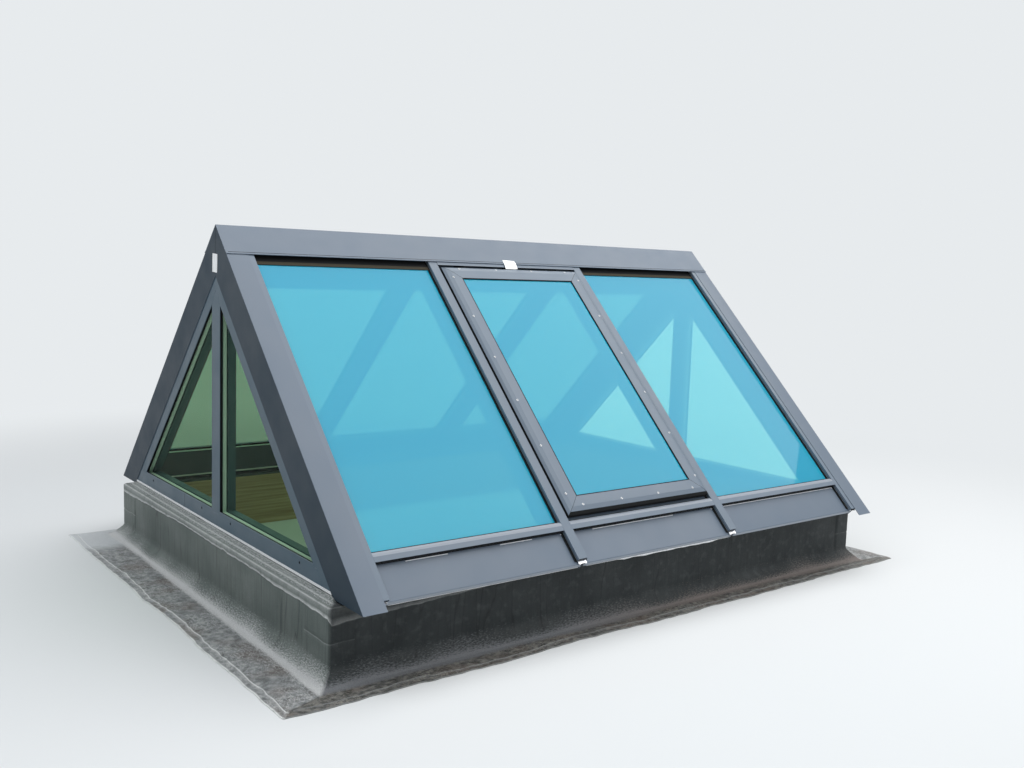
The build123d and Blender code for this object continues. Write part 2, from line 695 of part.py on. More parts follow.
def mitred_ring(section, void=None):
    """Four lengths of one profile round the sash, its points given as (e, d)."""
    x0, x1, s0, s1 = sash_plan(0)
    reach = max(e for e, d in section)
    low, high = max(d for e, d in section), min(d for e, d in section)

    def length(place, bar):
        piece = bar([(place(e), d) for e, d in section])
        return piece if void is None else piece - bar([(place(e), d) for e, d in void])

    def slope_bar(points):
        return along_slope(points, s0, s1)

    def cross_bar(points):
        return across_slope(points, x0, x1)

    side = length(lambda e: x0 + e, slope_bar)
    side &= slab([(x0, s0), (x0 + reach, s0 + reach), (x0 + reach, s1 - reach), (x0, s1)], low, high)
    head = length(lambda e: s0 + e, cross_bar)
    head &= slab([(x0, s0), (x1, s0), (x1 - reach, s0 + reach), (x0 + reach, s0 + reach)], low, high)
    foot = length(lambda e: s1 - e, cross_bar)
    foot &= slab([(x0, s1), (x1, s1), (x1 - reach, s1 - reach), (x0 + reach, s1 - reach)], low, high)
    return group(side_pair(side) + [on_front(head), on_front(foot)])


def sash_cover():
    """Four pressed lengths, mitred at the corners."""
    return mitred_ring(folded(COVER_PATH, COVER_T))


def sash_frame():
    """Hollow rebated frame under the cover, mitred at the corners."""
    e0, e1, e2 = SASH_FRAME_E
    top, seat, under = SASH_TOP_D, SASH_SEAT_D, SASH_UNDER_D
    wall, step, shoulder = SASH_WALL, SASH_STEP_E, SASH_TOP_D + SASH_STEP
    section = [(e0, shoulder), (step, shoulder), (step, top), (e1, top), (e1, seat),
               (e2, seat), (e2, under), (e0, under)]
    void = [(e0 + wall, shoulder + wall), (e1 - wall, shoulder + wall), (e1 - wall, seat + wall),
            (e2 - wall, seat + wall), (e2 - wall, under - wall), (e0 + wall, under - wall)]
    return mitred_ring(section, void)


def vent_seal():
    """Soft seal on the fixed frame; its top follows the closed cover's underside."""
    under_cover = folded(COVER_PATH, COVER_T + VENT_SEAL_GAP)[len(COVER_PATH):]
    e0, e1 = VENT_SEAL_E
    highest = COVER_PATH[-1][1]
    bar = Polygon(*rect(e0, e1, highest, UPSTAND_D[0]), align=None)
    section = (bar & Polygon(*under_cover, align=None)).faces()[0]
    return mitred_ring([(v.X, v.Y) for v in section.outer_wire().order_edges().vertices()])


def pane_sash():
    x0, x1, s0, s1 = sash_plan(SASH_GLASS_E)
    return group(slope_glass((x0, x1), s0, s1, 0, SASH_GLASS_D))


def spacer_sash():
    x0, x1, s0, s1 = sash_plan(SASH_GLASS_E)
    return spacer_ring(x0, x1, s0, s1, SASH_GLASS_D + LITE_T)


def sash_gasket():
    ring = None
    for e in SASH_GASKET_E:
        x0, x1, s0, s1 = sash_plan(e)
        plate = across_slope(rect(s0, s1, SASH_TOP_D, SASH_GLASS_D), x0, x1)
        ring = plate if ring is None else ring - plate
    return on_front(ring)


def hinge_barrel(x0, x1, radius):
    start = Plane(origin=(x0, -HINGE_S, -HINGE_D), x_dir=(0, 1, 0), z_dir=(1, 0, 0))
    return extrude(start * Circle(radius), amount=x1 - x0, dir=(1, 0, 0))


def hinge_base(x):
    """Fixed leaf on the vent frame's head, with its two outer knuckles."""
    x0, x1 = x - HINGE_W / 2, x + HINGE_W / 2
    foot = across_slope(rect(HINGE_S - LEAF_BACK, HINGE_S + KNUCKLE_R, D_GASKET, D_GLASS), x0, x1)
    for side in (-1, 1):
        near, far = KNUCKLE_W / 2 + KNUCKLE_PLAY, HINGE_W / 2
        x0, x1 = sorted((x + side * near, x + side * far))
        foot += across_slope(rect(HINGE_S - KNUCKLE_R, HINGE_S + KNUCKLE_R, HINGE_D, D_GASKET), x0, x1)
        foot += hinge_barrel(x0, x1, KNUCKLE_R)
    return on_front(foot - hinge_barrel(x - HINGE_W, x + HINGE_W, PIN_R + PIN_PLAY))


def hinge_leaf(x):
    """Moving leaf on the sash's head, with the middle knuckle."""
    x0, x1 = x - KNUCKLE_W / 2, x + KNUCKLE_W / 2
    skirt = rect(SASH_TOP - LEAF_T, SASH_TOP, COVER_PATH[1][1] + SHEET_T, COVER_PATH[0][1])
    leaf = across_slope(skirt, x - HINGE_W / 2, x + HINGE_W / 2)
    leaf += across_slope(rect(HINGE_S, SASH_TOP, HINGE_D - KNUCKLE_R, HINGE_D + KNUCKLE_R), x0, x1)
    leaf += hinge_barrel(x0, x1, KNUCKLE_R)
    return on_front(leaf - hinge_barrel(x - HINGE_W, x + HINGE_W, PIN_R + PIN_PLAY))


def hinge_pin(x):
    half = HINGE_W / 2 + JOINT
    return on_front(hinge_barrel(x - half, x + half, PIN_R))


def chain_drive():
    """Closed housing of the drive, with the slot that its chain leaves by, and two brackets."""
    half = DRIVE_SIZE[0] / 2
    housing = across_slope(rect(*DRIVE_S, *DRIVE_D), -half, half)
    middle = sum(DRIVE_S) / 2
    width, length = DRIVE_MOUTH
    mouth = rect(middle - length / 2, middle + length / 2, DRIVE_D[0], DRIVE_D[1] - DRIVE_FLOOR)
    parts = [on_front(housing - across_slope(mouth, -width / 2, width / 2))]
    upper = slope_point(DRIVE_S[1], DRIVE_D[0] + DRIVE_BRACKET_DOWN)
    lower = slope_point(DRIVE_S[1], DRIVE_D[1])
    plate = [upper, lower, (-BEAM_IN, lower[1]), (-BEAM_IN, upper[1])]
    for x in (-half + DRIVE_BRACKET_IN, half - DRIVE_BRACKET_IN - DRIVE_BRACKET_T):
        parts.append(along_x(plate, x, x + DRIVE_BRACKET_T))
    return group(parts)


def chain_bracket():
    """Angle under the sash's foot rail, with the tongue that the chain is pinned to."""
    width, length, thick = CHAIN_PLATE
    s0, under = sum(DRIVE_S) / 2 - thick / 2, SASH_UNDER_D
    foot = across_slope(rect(s0 - length + thick, s0 + thick, under, under + thick), -width / 2, width / 2)
    tongue = rect(s0, s0 + thick, under, DRIVE_D[0] - CHAIN_GAP)
    return on_front(foot + across_slope(tongue, -CHAIN_TONGUE_W / 2, CHAIN_TONGUE_W / 2))


def all_nodes():
    nodes = {
        "curb_boards": curb_boards(), "cant_strips": cant_strips(), "curb_felt": curb_felt(),
        "base_seal": base_seal(), "sill_plates": sill_plates(), "ridge_beam": ridge_beam(),
        "verge_fillers": group(four_corners(verge_filler())), "ridge_cap": ridge_cap(),
        "gable_gaskets": both_gables(gable_gaskets()), "gable_beads": both_gables(gable_beads()),
        "gable_spacers": both_gables(gable_spacers()), "vent_frame": vent_frame(), "vent_seal": vent_seal(),
        "hinge_bases": group([hinge_base(x) for x in HINGE_X]),
        "hinge_pins": group([hinge_pin(x) for x in HINGE_X]), "chain_drive": chain_drive(),
        "sash_cover": sash_cover(), "sash_frame": sash_frame(), "pane_sash": pane_sash(),
        "spacer_sash": spacer_sash(), "sash_gasket": sash_gasket(),
        "hinge_leaves": group([hinge_leaf(x) for x in HINGE_X]), "chain_bracket": chain_bracket(),
    }
    stiles = gable_stiles()
    sheets = [left_and_right(shape) for shape in (verge_sheet(), mirrored_y(verge_sheet()))]
    for i, side in enumerate(("left", "right")):
        nodes[f"gable_stiles_{side}"] = stiles[i]
        nodes[f"gable_rail_{side}"] = left_and_right(gable_rail())[i]
        nodes[f"mullion_{side}"] = left_and_right(mullion())[i]
        nodes[f"pane_gable_{side}"] = left_and_right(gable_pane())[i]
        nodes[f"verge_sheets_{side}"] = group([pair[i] for pair in sheets])
    for side, turn in (("front", 0), ("rear", 180)):
        def put(shapes):
            return group([Rot(0, 0, turn) * shape for shape in shapes])

        front = side == "front"
        nodes[f"eave_beam_{side}"] = put([eave_beam()])
        nodes[f"rafters_{side}"] = put([rafter(x) for x in RAFTERS])
        nodes[f"rafter_caps_{side}"] = put([rafter_cap(x) for x in RAFTERS])
        nodes[f"eave_caps_{side}"] = put([eave_cap(bay) for bay in BAYS])
        plates = [pressure_plate(x) for x in RAFTERS] + [eave_plate(bay) for bay in BAYS]
        nodes[f"pressure_plates_{side}"] = put(plates)
        nodes[f"outer_gaskets_{side}"] = put(outer_gaskets())
        nodes[f"seat_gaskets_{side}"] = put(seat_gaskets())
        nodes[f"ridge_seals_{side}"] = put([ridge_seal(bay, front) for bay in BAYS])
        nodes[f"apron_sheets_{side}"] = put([apron_sheet(bay) for bay in BAYS])
        nodes[f"apron_cores_{side}"] = put([apron_core(bay) for bay in BAYS])
        glazed = [bay for bay in BAYS if not is_vent(bay, front)]
        nodes[f"spacers_{side}"] = put([slope_spacer(bay) for bay in glazed])
        for bay in glazed:
            place = ("left", "middle", "right")[BAYS.index(bay)]
            nodes[f"pane_{side}_{place}"] = put(slope_pane(bay))
    return nodes


os.makedirs("parts", exist_ok=True)
for name, shape in all_nodes().items():
    export_step(shape, f"parts/{name}.step")
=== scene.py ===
# %% [markdown]
# A glazed roof lantern: two slopes at 45 degrees, a gable at each end and one vent, on a felted upstand.
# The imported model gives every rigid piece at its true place. This lesson dresses those pieces, adds the
# small things that sit on them, and sets a plain studio round them.

# %% The frame
import math

import bpy
import bmesh
from mathutils import Matrix, Vector, noise


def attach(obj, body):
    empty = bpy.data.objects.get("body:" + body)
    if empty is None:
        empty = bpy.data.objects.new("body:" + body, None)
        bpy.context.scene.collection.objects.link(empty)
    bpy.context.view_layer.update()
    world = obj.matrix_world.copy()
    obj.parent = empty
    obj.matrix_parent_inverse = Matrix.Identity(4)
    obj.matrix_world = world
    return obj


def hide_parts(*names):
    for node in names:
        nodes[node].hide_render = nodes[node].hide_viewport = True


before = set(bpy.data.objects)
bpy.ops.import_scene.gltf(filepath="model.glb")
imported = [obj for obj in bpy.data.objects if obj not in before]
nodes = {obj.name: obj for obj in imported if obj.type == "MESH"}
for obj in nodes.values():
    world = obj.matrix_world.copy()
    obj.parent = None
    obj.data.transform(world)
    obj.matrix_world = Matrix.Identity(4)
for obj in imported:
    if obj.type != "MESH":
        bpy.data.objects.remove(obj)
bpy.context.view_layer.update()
print("pieces in the frame:", len(nodes))

# %% [markdown]
# The camera stands where the picture was taken: head height above the roof, off the left front corner.
# Its place, turn and focal length come from fitting the lantern's straight edges in the picture, so the
# outlines fall where they do there.

# %% The camera
EYE = Vector((-3.36564, -4.56515, 1.58636))
YAW, PITCH, ROLL = math.radians(37.653), math.radians(-6.378), math.radians(1.942)
FOCAL_PX, FRAME_PX, SENSOR = 1008.3, 1024, 36.0


def add_camera():
    ahead = Vector((math.sin(YAW) * math.cos(PITCH), math.cos(YAW) * math.cos(PITCH), math.sin(PITCH)))
    level = Vector((math.cos(YAW), -math.sin(YAW), 0))
    upright = level.cross(ahead)
    right = math.cos(ROLL) * level + math.sin(ROLL) * upright
    up = -math.sin(ROLL) * level + math.cos(ROLL) * upright
    data = bpy.data.cameras.new("camera")
    data.sensor_width, data.lens = SENSOR, FOCAL_PX * SENSOR / FRAME_PX
    camera = bpy.data.objects.new("camera", data)
    camera.matrix_world = Matrix.Translation(EYE) @ Matrix((right, up, -ahead)).transposed().to_4x4()
    bpy.context.scene.collection.objects.link(camera)
    bpy.context.scene.camera = camera
    return camera


print("lens", round(add_camera().data.lens, 2), "mm")

# %% [markdown]
# Worlds, finishes and Geometry Nodes are all trees of nodes. One helper adds a node, sets its properties,
# and then fills its inputs: an input is linked when it gets another node's output, and otherwise it keeps
# the plain value.

# %% A helper for nodes


def fill(tree, socket, value):
    if isinstance(value, bpy.types.NodeSocket):
        tree.links.new(value, socket)
    elif socket.type == "RGBA":
        socket.default_value = (*value, 1)
    else:
        socket.default_value = value


def add(tree, kind, at=None, **settings):
    node = tree.nodes.new(kind)
    for key, value in settings.items():
        setattr(node, key, value)
    for name, value in (at or {}).items():
        fill(tree, node.inputs[name], value)
    return node


# %% [markdown]
# Overcast daylight comes from the whole sky, brightest overhead. A wide lamp high above the lantern does
# that. A second one carries the same sky on over the left gable, and it is hidden from mirrors, because its
# rim would show in the panes. A weaker lamp fills the front and the world adds an even glow. Eyes, mirrors
# and glass see a plain pale backdrop instead of that glow. The Standard view shows colours as they are mixed.

# %% Light and backdrop
BACKDROP, SKY, SKY_STRENGTH = (0.80, 0.83, 0.85), (0.86, 0.93, 1.0), 0.20


def build_world():
    world = bpy.data.worlds.new("studio")
    bpy.context.scene.world = world
    world.use_nodes = True
    tree = world.node_tree
    tree.nodes.clear()
    ray = add(tree, "ShaderNodeLightPath").outputs
    through = add(tree, "ShaderNodeMath", {0: ray["Is Glossy Ray"], 1: ray["Is Transmission Ray"]},
                  operation="MAXIMUM")
    seen = add(tree, "ShaderNodeMath", {0: ray["Is Camera Ray"], 1: through.outputs[0]}, operation="MAXIMUM")
    sky = add(tree, "ShaderNodeBackground", {"Color": SKY, "Strength": SKY_STRENGTH})
    plain = add(tree, "ShaderNodeBackground", {"Color": BACKDROP})
    mix = add(tree, "ShaderNodeMixShader", {0: seen.outputs[0], 1: sky.outputs[0], 2: plain.outputs[0]})
    add(tree, "ShaderNodeOutputWorld", {"Surface": mix.outputs[0]})


def add_lamp(name, place, target, size, power, colour):
    data = bpy.data.lights.new(name, "AREA")
    data.shape, data.size, data.energy, data.color = "DISK", size, power, colour
    lamp = bpy.data.objects.new(name, data)
    lamp.location = place
    lamp.rotation_euler = (Vector(target) - Vector(place)).to_track_quat("-Z", "Y").to_euler()
    bpy.context.scene.collection.objects.link(lamp)
    return lamp


build_world()
add_lamp("sky_above", (4.0, -2.5, 8.0), (4.0, -2.5, 0.0), 15.0, 1150, (1, 0.99, 0.98))
sky_left = add_lamp("sky_left", (-6.2, 0.0, 8.0), (-6.2, 0.0, 0.0), 7.0, 330, (0.94, 0.97, 1.0))
sky_left.visible_glossy = False
add_lamp("front_fill", (3.0, -8.0, 4.0), (0, 0, 0.7), 4.0, 70, (1, 1, 1))
bpy.context.scene.view_settings.view_transform = "Standard"
print("lamps:", len(bpy.data.lights))

# %% [markdown]
# Most finishes below are a Principled shader with two or three patterns laid over it. These helpers keep each
# recipe short. One makes the material and one a noise in the piece's own coordinates. Others turn a pattern
# into colours, into a grey fade between two levels, or into a slight bump. The last two make a mesh and put
# it in the scene.

# %% Helpers for finishes


def start_finish(name, colour, roughness, metallic=0.0, mirror=0.5):
    material = bpy.data.materials.new(name)
    material.use_nodes = True
    surface = material.node_tree.nodes["Principled BSDF"]
    for socket, value in (("Base Color", (*colour, 1)), ("Roughness", roughness), ("Metallic", metallic),
                          ("Specular IOR Level", mirror)):
        surface.inputs[socket].default_value = value
    return material, material.node_tree, surface


def pattern(tree, scale, detail=3.0, stretch=(1, 1, 1), kind="ShaderNodeTexNoise"):
    """A noise or cell pattern on Object coordinates; scale is in repeats for each metre."""
    place = add(tree, "ShaderNodeTexCoord")
    mapping = add(tree, "ShaderNodeMapping", {"Scale": stretch, "Vector": place.outputs["Object"]})
    texture = add(tree, kind, {"Scale": scale, "Detail": detail, "Vector": mapping.outputs["Vector"]})
    return texture.outputs["Distance" if kind == "ShaderNodeTexVoronoi" else "Fac"]


def ramp(tree, source, stops):
    """Colours along a pattern; stops are (position, colour)."""
    node = add(tree, "ShaderNodeValToRGB", {"Fac": source})
    elements = node.color_ramp.elements
    for i, (position, colour) in enumerate(stops):
        element = elements[i] if i < 2 else elements.new(position)
        element.position, element.color = position, (*colour, 1)
    return node.outputs["Color"]


def fade(tree, source, start, end, low=0.0, high=1.0):
    """Greys that go from low to high as a pattern goes from start to end."""
    return ramp(tree, source, [(start, (low, low, low)), (end, (high, high, high))])


def mixed(tree, factor, first, second, kind="MIX"):
    node = add(tree, "ShaderNodeMix", data_type="RGBA", blend_type=kind)
    for name, sort, value in (("Factor", "VALUE", factor), ("A", "RGBA", first), ("B", "RGBA", second)):
        fill(tree, next(s for s in node.inputs if s.name == name and s.type == sort), value)
    return next(s for s in node.outputs if s.type == "RGBA")


def bumped(tree, surface, source, height, strength=0.5, after=None):
    node = add(tree, "ShaderNodeBump", {"Strength": strength, "Distance": height, "Height": source})
    if after is not None:
        tree.links.new(after, node.inputs["Normal"])
    tree.links.new(node.outputs["Normal"], surface.inputs["Normal"])
    return node.outputs["Normal"]


def two_shaders(tree, share, first, second):
    """Sends two shaders to the material's output; share is how much of the second."""
    mix = add(tree, "ShaderNodeMixShader", {0: share, 1: first.outputs[0], 2: second.outputs[0]})
    tree.links.new(mix.outputs[0], tree.nodes["Material Output"].inputs["Surface"])


def new_mesh(name, points, faces, finish=None):
    mesh = bpy.data.meshes.new(name)
    mesh.from_pydata(points, [], faces)
    if finish:
        mesh.materials.append(finish)
    return mesh


def new_piece(name, mesh, body=None):
    """Puts a mesh in the scene; body is what it moves with."""
    piece = bpy.data.objects.new(name, mesh)
    bpy.context.scene.collection.objects.link(piece)
    if body:
        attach(piece, body)
    return piece


# %% [markdown]
# The floor is a pale sheet that keeps the lantern's shadow near it and turns into the backdrop's own tone
# further out, so no horizon cuts the picture.

# %% The floor
FLOOR_SIZE, FLOOR_TONE, FADE_FROM, FADE_TO = 60.0, (0.72, 0.74, 0.75), 2.5, 6.5


def build_floor():
    half = FLOOR_SIZE / 2
    corners = [(-half, -half, 0), (half, -half, 0), (half, half, 0), (-half, half, 0)]
    material, tree, surface = start_finish("studio_floor", FLOOR_TONE, 0.9, mirror=0.1)
    glow = add(tree, "ShaderNodeEmission", {"Color": BACKDROP})
    place = add(tree, "ShaderNodeTexCoord")
    away = add(tree, "ShaderNodeVectorMath", {0: place.outputs["Object"]}, operation="LENGTH")
    reach = {"Value": away.outputs["Value"], "From Min": FADE_FROM, "From Max": FADE_TO}
    far = add(tree, "ShaderNodeMapRange", reach, interpolation_type="SMOOTHSTEP")
    two_shaders(tree, far.outputs["Result"], surface, glow)
    floor = new_piece("floor", new_mesh("floor", corners, [(0, 1, 2, 3)], material))


build_floor()
print("floor:", FLOOR_SIZE, "m across, plain beyond", FADE_TO, "m")

# %% [markdown]
# The metal is aluminium with an anthracite powder coat. A powder coat has a very fine orange peel, takes a
# soft sheen from the sky, and gathers a little dust. The folded sheets are flatter and a touch warmer than
# the extruded bars, so they get a finish of their own. The gables stand in the sky's blue side light, which
# a cooler coat stands for as painted light, and bevels that face straight up catch so much light that they
# get a paler one, a painted highlight. The outer legs of the verge sheets get a darker coat as painted shade,
# and the bars inside are darker as painted shade, as in a room seen from outdoors.

# %% Powder coat


def powder_coat(name, colour, roughness, ripple, sheen=0.42):
    material, tree, surface = start_finish(name, colour, roughness, mirror=sheen)
    dust = fade(tree, pattern(tree, 2.6, 5), 0.35, 0.75)
    dusty = tuple(c * 0.9 + 0.025 for c in colour)
    tree.links.new(mixed(tree, dust, colour, dusty), surface.inputs["Base Color"])
    worn = fade(tree, pattern(tree, 9.0, 4), 0.3, 0.7, roughness - 0.05, roughness + 0.08)
    tree.links.new(worn, surface.inputs["Roughness"])
    wave = bumped(tree, surface, pattern(tree, 1.7, 1), ripple, 0.6)
    bumped(tree, surface, pattern(tree, 900.0, 2), 0.00012, 0.5, after=wave)
    return material


sheet_coat = powder_coat("anthracite_sheet", (0.118, 0.156, 0.207), 0.38, 0.003)
bar_coat = powder_coat("anthracite_bar", (0.126, 0.168, 0.220), 0.34, 0.0006)
# A darker copy of the coat for the verge sheets' outer legs: painted shade.
shaded_side_coat = powder_coat("anthracite_verge_shade", (0.028, 0.047, 0.067), 0.42, 0.002, 0.10)
gable_coat = powder_coat("anthracite_gable", (0.056, 0.102, 0.140), 0.36, 0.0006, 0.3)
# A darker copy of the coat for the bars inside: painted shade.
shaded_inner_coat = powder_coat("anthracite_inside_shade", (0.045, 0.062, 0.080), 0.40, 0.0004, 0.2)
lit_edge = powder_coat("anthracite_edge", (0.260, 0.295, 0.345), 0.34, 0.0004)
print("powder coats:", [m.name for m in bpy.data.materials if m.name.startswith("anthracite")])

# %% [markdown]
# The slopes have sun-control glass: a strong cyan film on the outer face, and clear sheets behind it. Each
# sheet is modelled, so a ray meets four faces on its way. Only the outer face gets the film, which is part
# colour and part tinted view. The other faces pass nearly everything on and keep a thin mirror. The gables
# have plain green glass, which has no film and looks dark because the room behind it is.

# %% Glass


def glass(name, colour, share, tint, mirror):
    material, tree, surface = start_finish(name, colour, 0.02, mirror=mirror)
    two_shaders(tree, share, add(tree, "ShaderNodeBsdfTransparent", {"Color": tint}), surface)
    return material


cyan_film = glass("cyan_film", (0.03, 0.58, 0.89), 0.54, (0.50, 0.76, 0.60), 0.5)
clear_glass = glass("clear_glass", (0.01, 0.02, 0.02), 0.03, (0.98, 0.998, 0.99), 0.5)
gable_glass = glass("gable_glass", (0.01, 0.03, 0.03), 0.03, (0.97, 0.999, 0.94), 0.9)
print("glass:", cyan_film.name, clear_glass.name, gable_glass.name)

# %% [markdown]
# Rubber, spacer bars, bare aluminium, steel, timber and foam are small areas, but each shows somewhere:
# under the glass edge, at the foot of a bar, or when the lantern is seen from below.

# %% Small finishes


def matt(name, colour, roughness, scale, detail, height, strength, mirror=0.5):
    material, tree, surface = start_finish(name, colour, roughness, mirror=mirror)
    bumped(tree, surface, pattern(tree, scale, detail), height, strength)
    return material


def bare_metal(name, colour, roughness, metallic=1.0):
    material, tree, surface = start_finish(name, colour, roughness, metallic)
    brushed = pattern(tree, 120.0, 3, stretch=(0.05, 1, 1))
    shine = fade(tree, brushed, 0.2, 0.8, roughness - 0.08, roughness + 0.12)
    tree.links.new(shine, surface.inputs["Roughness"])
    bumped(tree, surface, brushed, 0.0001, 0.4)
    return material


def coloured(name, colour, roughness, source, stops, height, strength):
    """A finish whose colour and bump both follow one pattern; source makes it in the new tree."""
    material, tree, surface = start_finish(name, colour, roughness)
    figure = source(tree)
    tree.links.new(ramp(tree, figure, stops), surface.inputs["Base Color"])
    bumped(tree, surface, figure, height, strength)
    return material


# Black for the real gaskets, also used on other pieces as painted shade and painted reflection.
black_rubber_and_shade = matt("black_rubber_and_shade", (0.012, 0.013, 0.014), 0.80, 400.0, 3, 0.0002, 0.5, mirror=0.15)
# Brown for the part of the black seal the sky lights: painted highlight.
sunlit_seal_edge = matt("sunlit_seal_edge", (0.054, 0.048, 0.034), 0.80, 400.0, 3, 0.0002, 0.5, mirror=0.15)
spacer_bar = matt("spacer_bar", (0.52, 0.66, 0.60), 0.45, 250.0, 2, 0.0001, 0.4)
mill_aluminium = bare_metal("mill_aluminium", (0.78, 0.79, 0.81), 0.34)
stainless = bare_metal("stainless_steel", (0.56, 0.57, 0.58), 0.30)
drive_metal = bare_metal("drive_housing", (0.36, 0.37, 0.39), 0.42)
coated_steel = bare_metal("coated_steel", (0.06, 0.065, 0.07), 0.45)
# Near-white and not metallic: the sky's reflection in bare aluminium, painted into its colour.
sky_reflection_white = bare_metal("sky_reflection_white", (0.94, 0.95, 0.96), 0.40, 0.0)
sawn_timber = coloured("sawn_timber", (0.55, 0.38, 0.20), 0.75,
                       lambda tree: pattern(tree, 14.0, 6, stretch=(0.15, 1, 6)),
                       [(0.3, (0.36, 0.22, 0.10)), (0.7, (0.62, 0.45, 0.26))], 0.0008, 0.5)
insulation = coloured("insulation_foam", (0.72, 0.66, 0.44), 0.85,
                      lambda tree: pattern(tree, 320.0, kind="ShaderNodeTexVoronoi"),
                      [(0.0, (0.60, 0.54, 0.34)), (0.6, (0.76, 0.70, 0.48))], 0.0006, 0.6)
print("finishes so far:", len(bpy.data.materials))

# %% [markdown]
# The felt is the roughest piece of the lantern. On the real one it is laid by hand: strips go up the walls,
# a capping strip folds over the top edge, small patches close the corners, and the foot runs out over the
# roof with a wavy edge. Straight CAD bars can't show that, so the skin is built again as one closed ring.
# Each column of points stands at one place along the walls, and each row follows the section from the
# inner top edge, over the corner and down the wall, out to the edge and back underneath. The rows wander
# with a smooth noise, so every lap keeps a sharp but uneven edge.

# %% Felt: sizes
# False is a side under the eaves and True is a side under a gable.
BOARD = {False: 1.261, True: 1.643}      # board faces, from the middle
FELT, CURB_TOP, CANT = 0.005, 0.308, 0.062
PAST_WALL = {False: 0.176, True: 0.264}  # felt carried out over the roof
PAST_MOST = {False: 0.1885, True: 0.2785}
CORNER_R, COLUMN_STEP = 0.012, 0.016
CAP_LAP = {False: 0.0016, True: 0.0032}  # thickness of the capping strip's edge
CAP_DOWN = {False: 0.024, True: 0.038}
PATCH_REACH = {False: 0.10, True: 0.20}  # small corner patches, along each wall
PATCH_T, CREASE_Z, TURN_UP = 0.0024, 0.163, 0.0165
SEAMS = {0: (), 1: (-0.34, 0.47), 2: (-0.55, 0.30), 3: (-0.715, 0.222)}  # upright laps, along each side
SEAM_T, SEAM_FADE, INNER_EDGE, WALL_FOOT, DENT = 0.0024, 0.11, -0.120, 0.086, 0.0022
SIDES = (((0, -1), (1, 0)), ((1, 0), (0, 1)), ((0, 1), (-1, 0)), ((-1, 0), (0, -1)))  # outward, along
FOLD_R, FOLD_IN, FOLD_DOWN = 0.009, 0.004, 0.010  # where the capping strip bends over the corner
SILL_FACE = (-0.0458, -0.0454)
SEAM_FROM, SEAM_NEAR, PAIR_GAP, PAIR_CLEAR = 0.10, 0.001, 0.0008, 0.004
CORNER_TURNS, CORNER_RUN = (0.25, 0.5, 0.75), 0.004
# Rows of the turned-up edge are (out, share of its height). Rows of the fillet are (out, height, wear).
TURNED_EDGE = ((-0.040, 0.8), (-0.034, 0.6), (-0.029, 0.42), (-0.024, 0.28), (-0.018, 0.15), (-0.012, 0.05))
FILLET = ((0.0062, 0.074, 0.36), (0.0105, 0.0625, 0.38), (0.020, 0.0505, 0.42), (0.034, 0.0365, 0.50),
          (0.048, 0.0225, 0.68), (0.0585, 0.0130, 1.0), (0.069, 0.0080, 0.75), (0.082, 0.0062, 0.42))


def wander(along, seed, waves, size):
    """A smooth offset along the walls: waves for each metre, at most about size."""
    return size * noise.noise(Vector((along * waves, seed * 7.3, 0.5)))


print("felt seams on each side:", [len(places) for places in SEAMS.values()])

# %% Felt: rows over the top and down the wall


def top_rows(gable, along):
    """From the inner edge over the top; on the gables the edge is turned up against the sill."""
    up = TURN_UP + wander(along, 11, 6, 0.002) if gable else 0.0
    rows = [(INNER_EDGE, CURB_TOP, 0, 0, 0), (SILL_FACE[0], CURB_TOP, 0, 0, 0),
            (SILL_FACE[1], CURB_TOP + up, 0.5, 0.5, 0)]
    for k, (out, share) in enumerate(TURNED_EDGE):
        drop = 0.0012 * (k % 2) + abs(wander(along, 9 + k, 9, 0.001))
        # bright is a painted highlight along a ridge of the turned-up edge.
        bright = 0.6 if k == 3 else 0.0
        rows.append((out + wander(along, 8, 2, 0.003), CURB_TOP + up * share - drop, bright, 0.52, 0))
    # The fold over the corner gets painted highlights along it.
    for turn, bright in ((0.15, 0.25), (0.45, 0.7), (0.75, 0.25), (1.0, 0.25)):
        out = -FOLD_IN + CAP_LAP[gable] + FOLD_R * math.sin(turn * math.pi / 2)
        rows.append((out, CURB_TOP - FOLD_DOWN + FOLD_R * math.cos(turn * math.pi / 2), bright, 0.2, 0))
    return rows


def cap_edge(gable, along, a):
    """Height of the capping strip's lower edge."""
    edge = CURB_TOP - CAP_DOWN[gable] + wander(along, 1 + gable, 3, 0.009) + wander(along, 3, 27, 0.005)
    if gable:
        return edge + (0.018 * math.cos(a * math.pi / 2) - 0.008)
    return edge - 0.048 * max(0.0, 1 - (1 + a) / 0.55)


def wall_rows(gable, along, edge, lap, patch):
    """The capping strip's edge, then the wall below it with its crease and worn foot."""
    cap, swell = CAP_LAP[gable], wander(along, 5, 1.4, 0.0022)
    wall_out = FELT + swell * 0.4 + lap
    # The third number of each row is painted highlight, brightest at the capping strip's edge.
    rows = [(wall_out + cap, (CURB_TOP - 0.011 + edge) / 2, 0.1, 0.1, 0),
            (wall_out + cap, edge + 0.005, 0.8, 0, 0),
            (wall_out + cap * 0.8, edge, 1, 0, 0),
            (wall_out + patch, edge - 0.0012, 0.35, 0, 0)]
    high, crease = edge - 0.004, CREASE_Z + wander(along, 20, 14, 0.006)
    levels = [high - (high - crease - 0.004) * k / 6 for k in range(6)]
    levels += [crease + 0.004, crease, crease - 0.004]
    levels += [crease - 0.004 - (crease - 0.004 - WALL_FOOT) * k / 6 for k in range(1, 7)]
    for z in levels:
        bulge = wander(along + z, 30, 6, 0.0007) + swell * (z / CURB_TOP) * 0.6
        dent = DENT if patch and abs(z - crease) < 0.001 else 0.0
        foot = max(0.0, 1 - (z - WALL_FOOT) / (0.040 + wander(along, 33, 5, 0.03)))
        rows.append((FELT + lap + patch + bulge - dent, z, 0.3 if dent else 0, foot * 0.36, 0))
    return rows


# %% Felt: rows over the foot and out on the roof


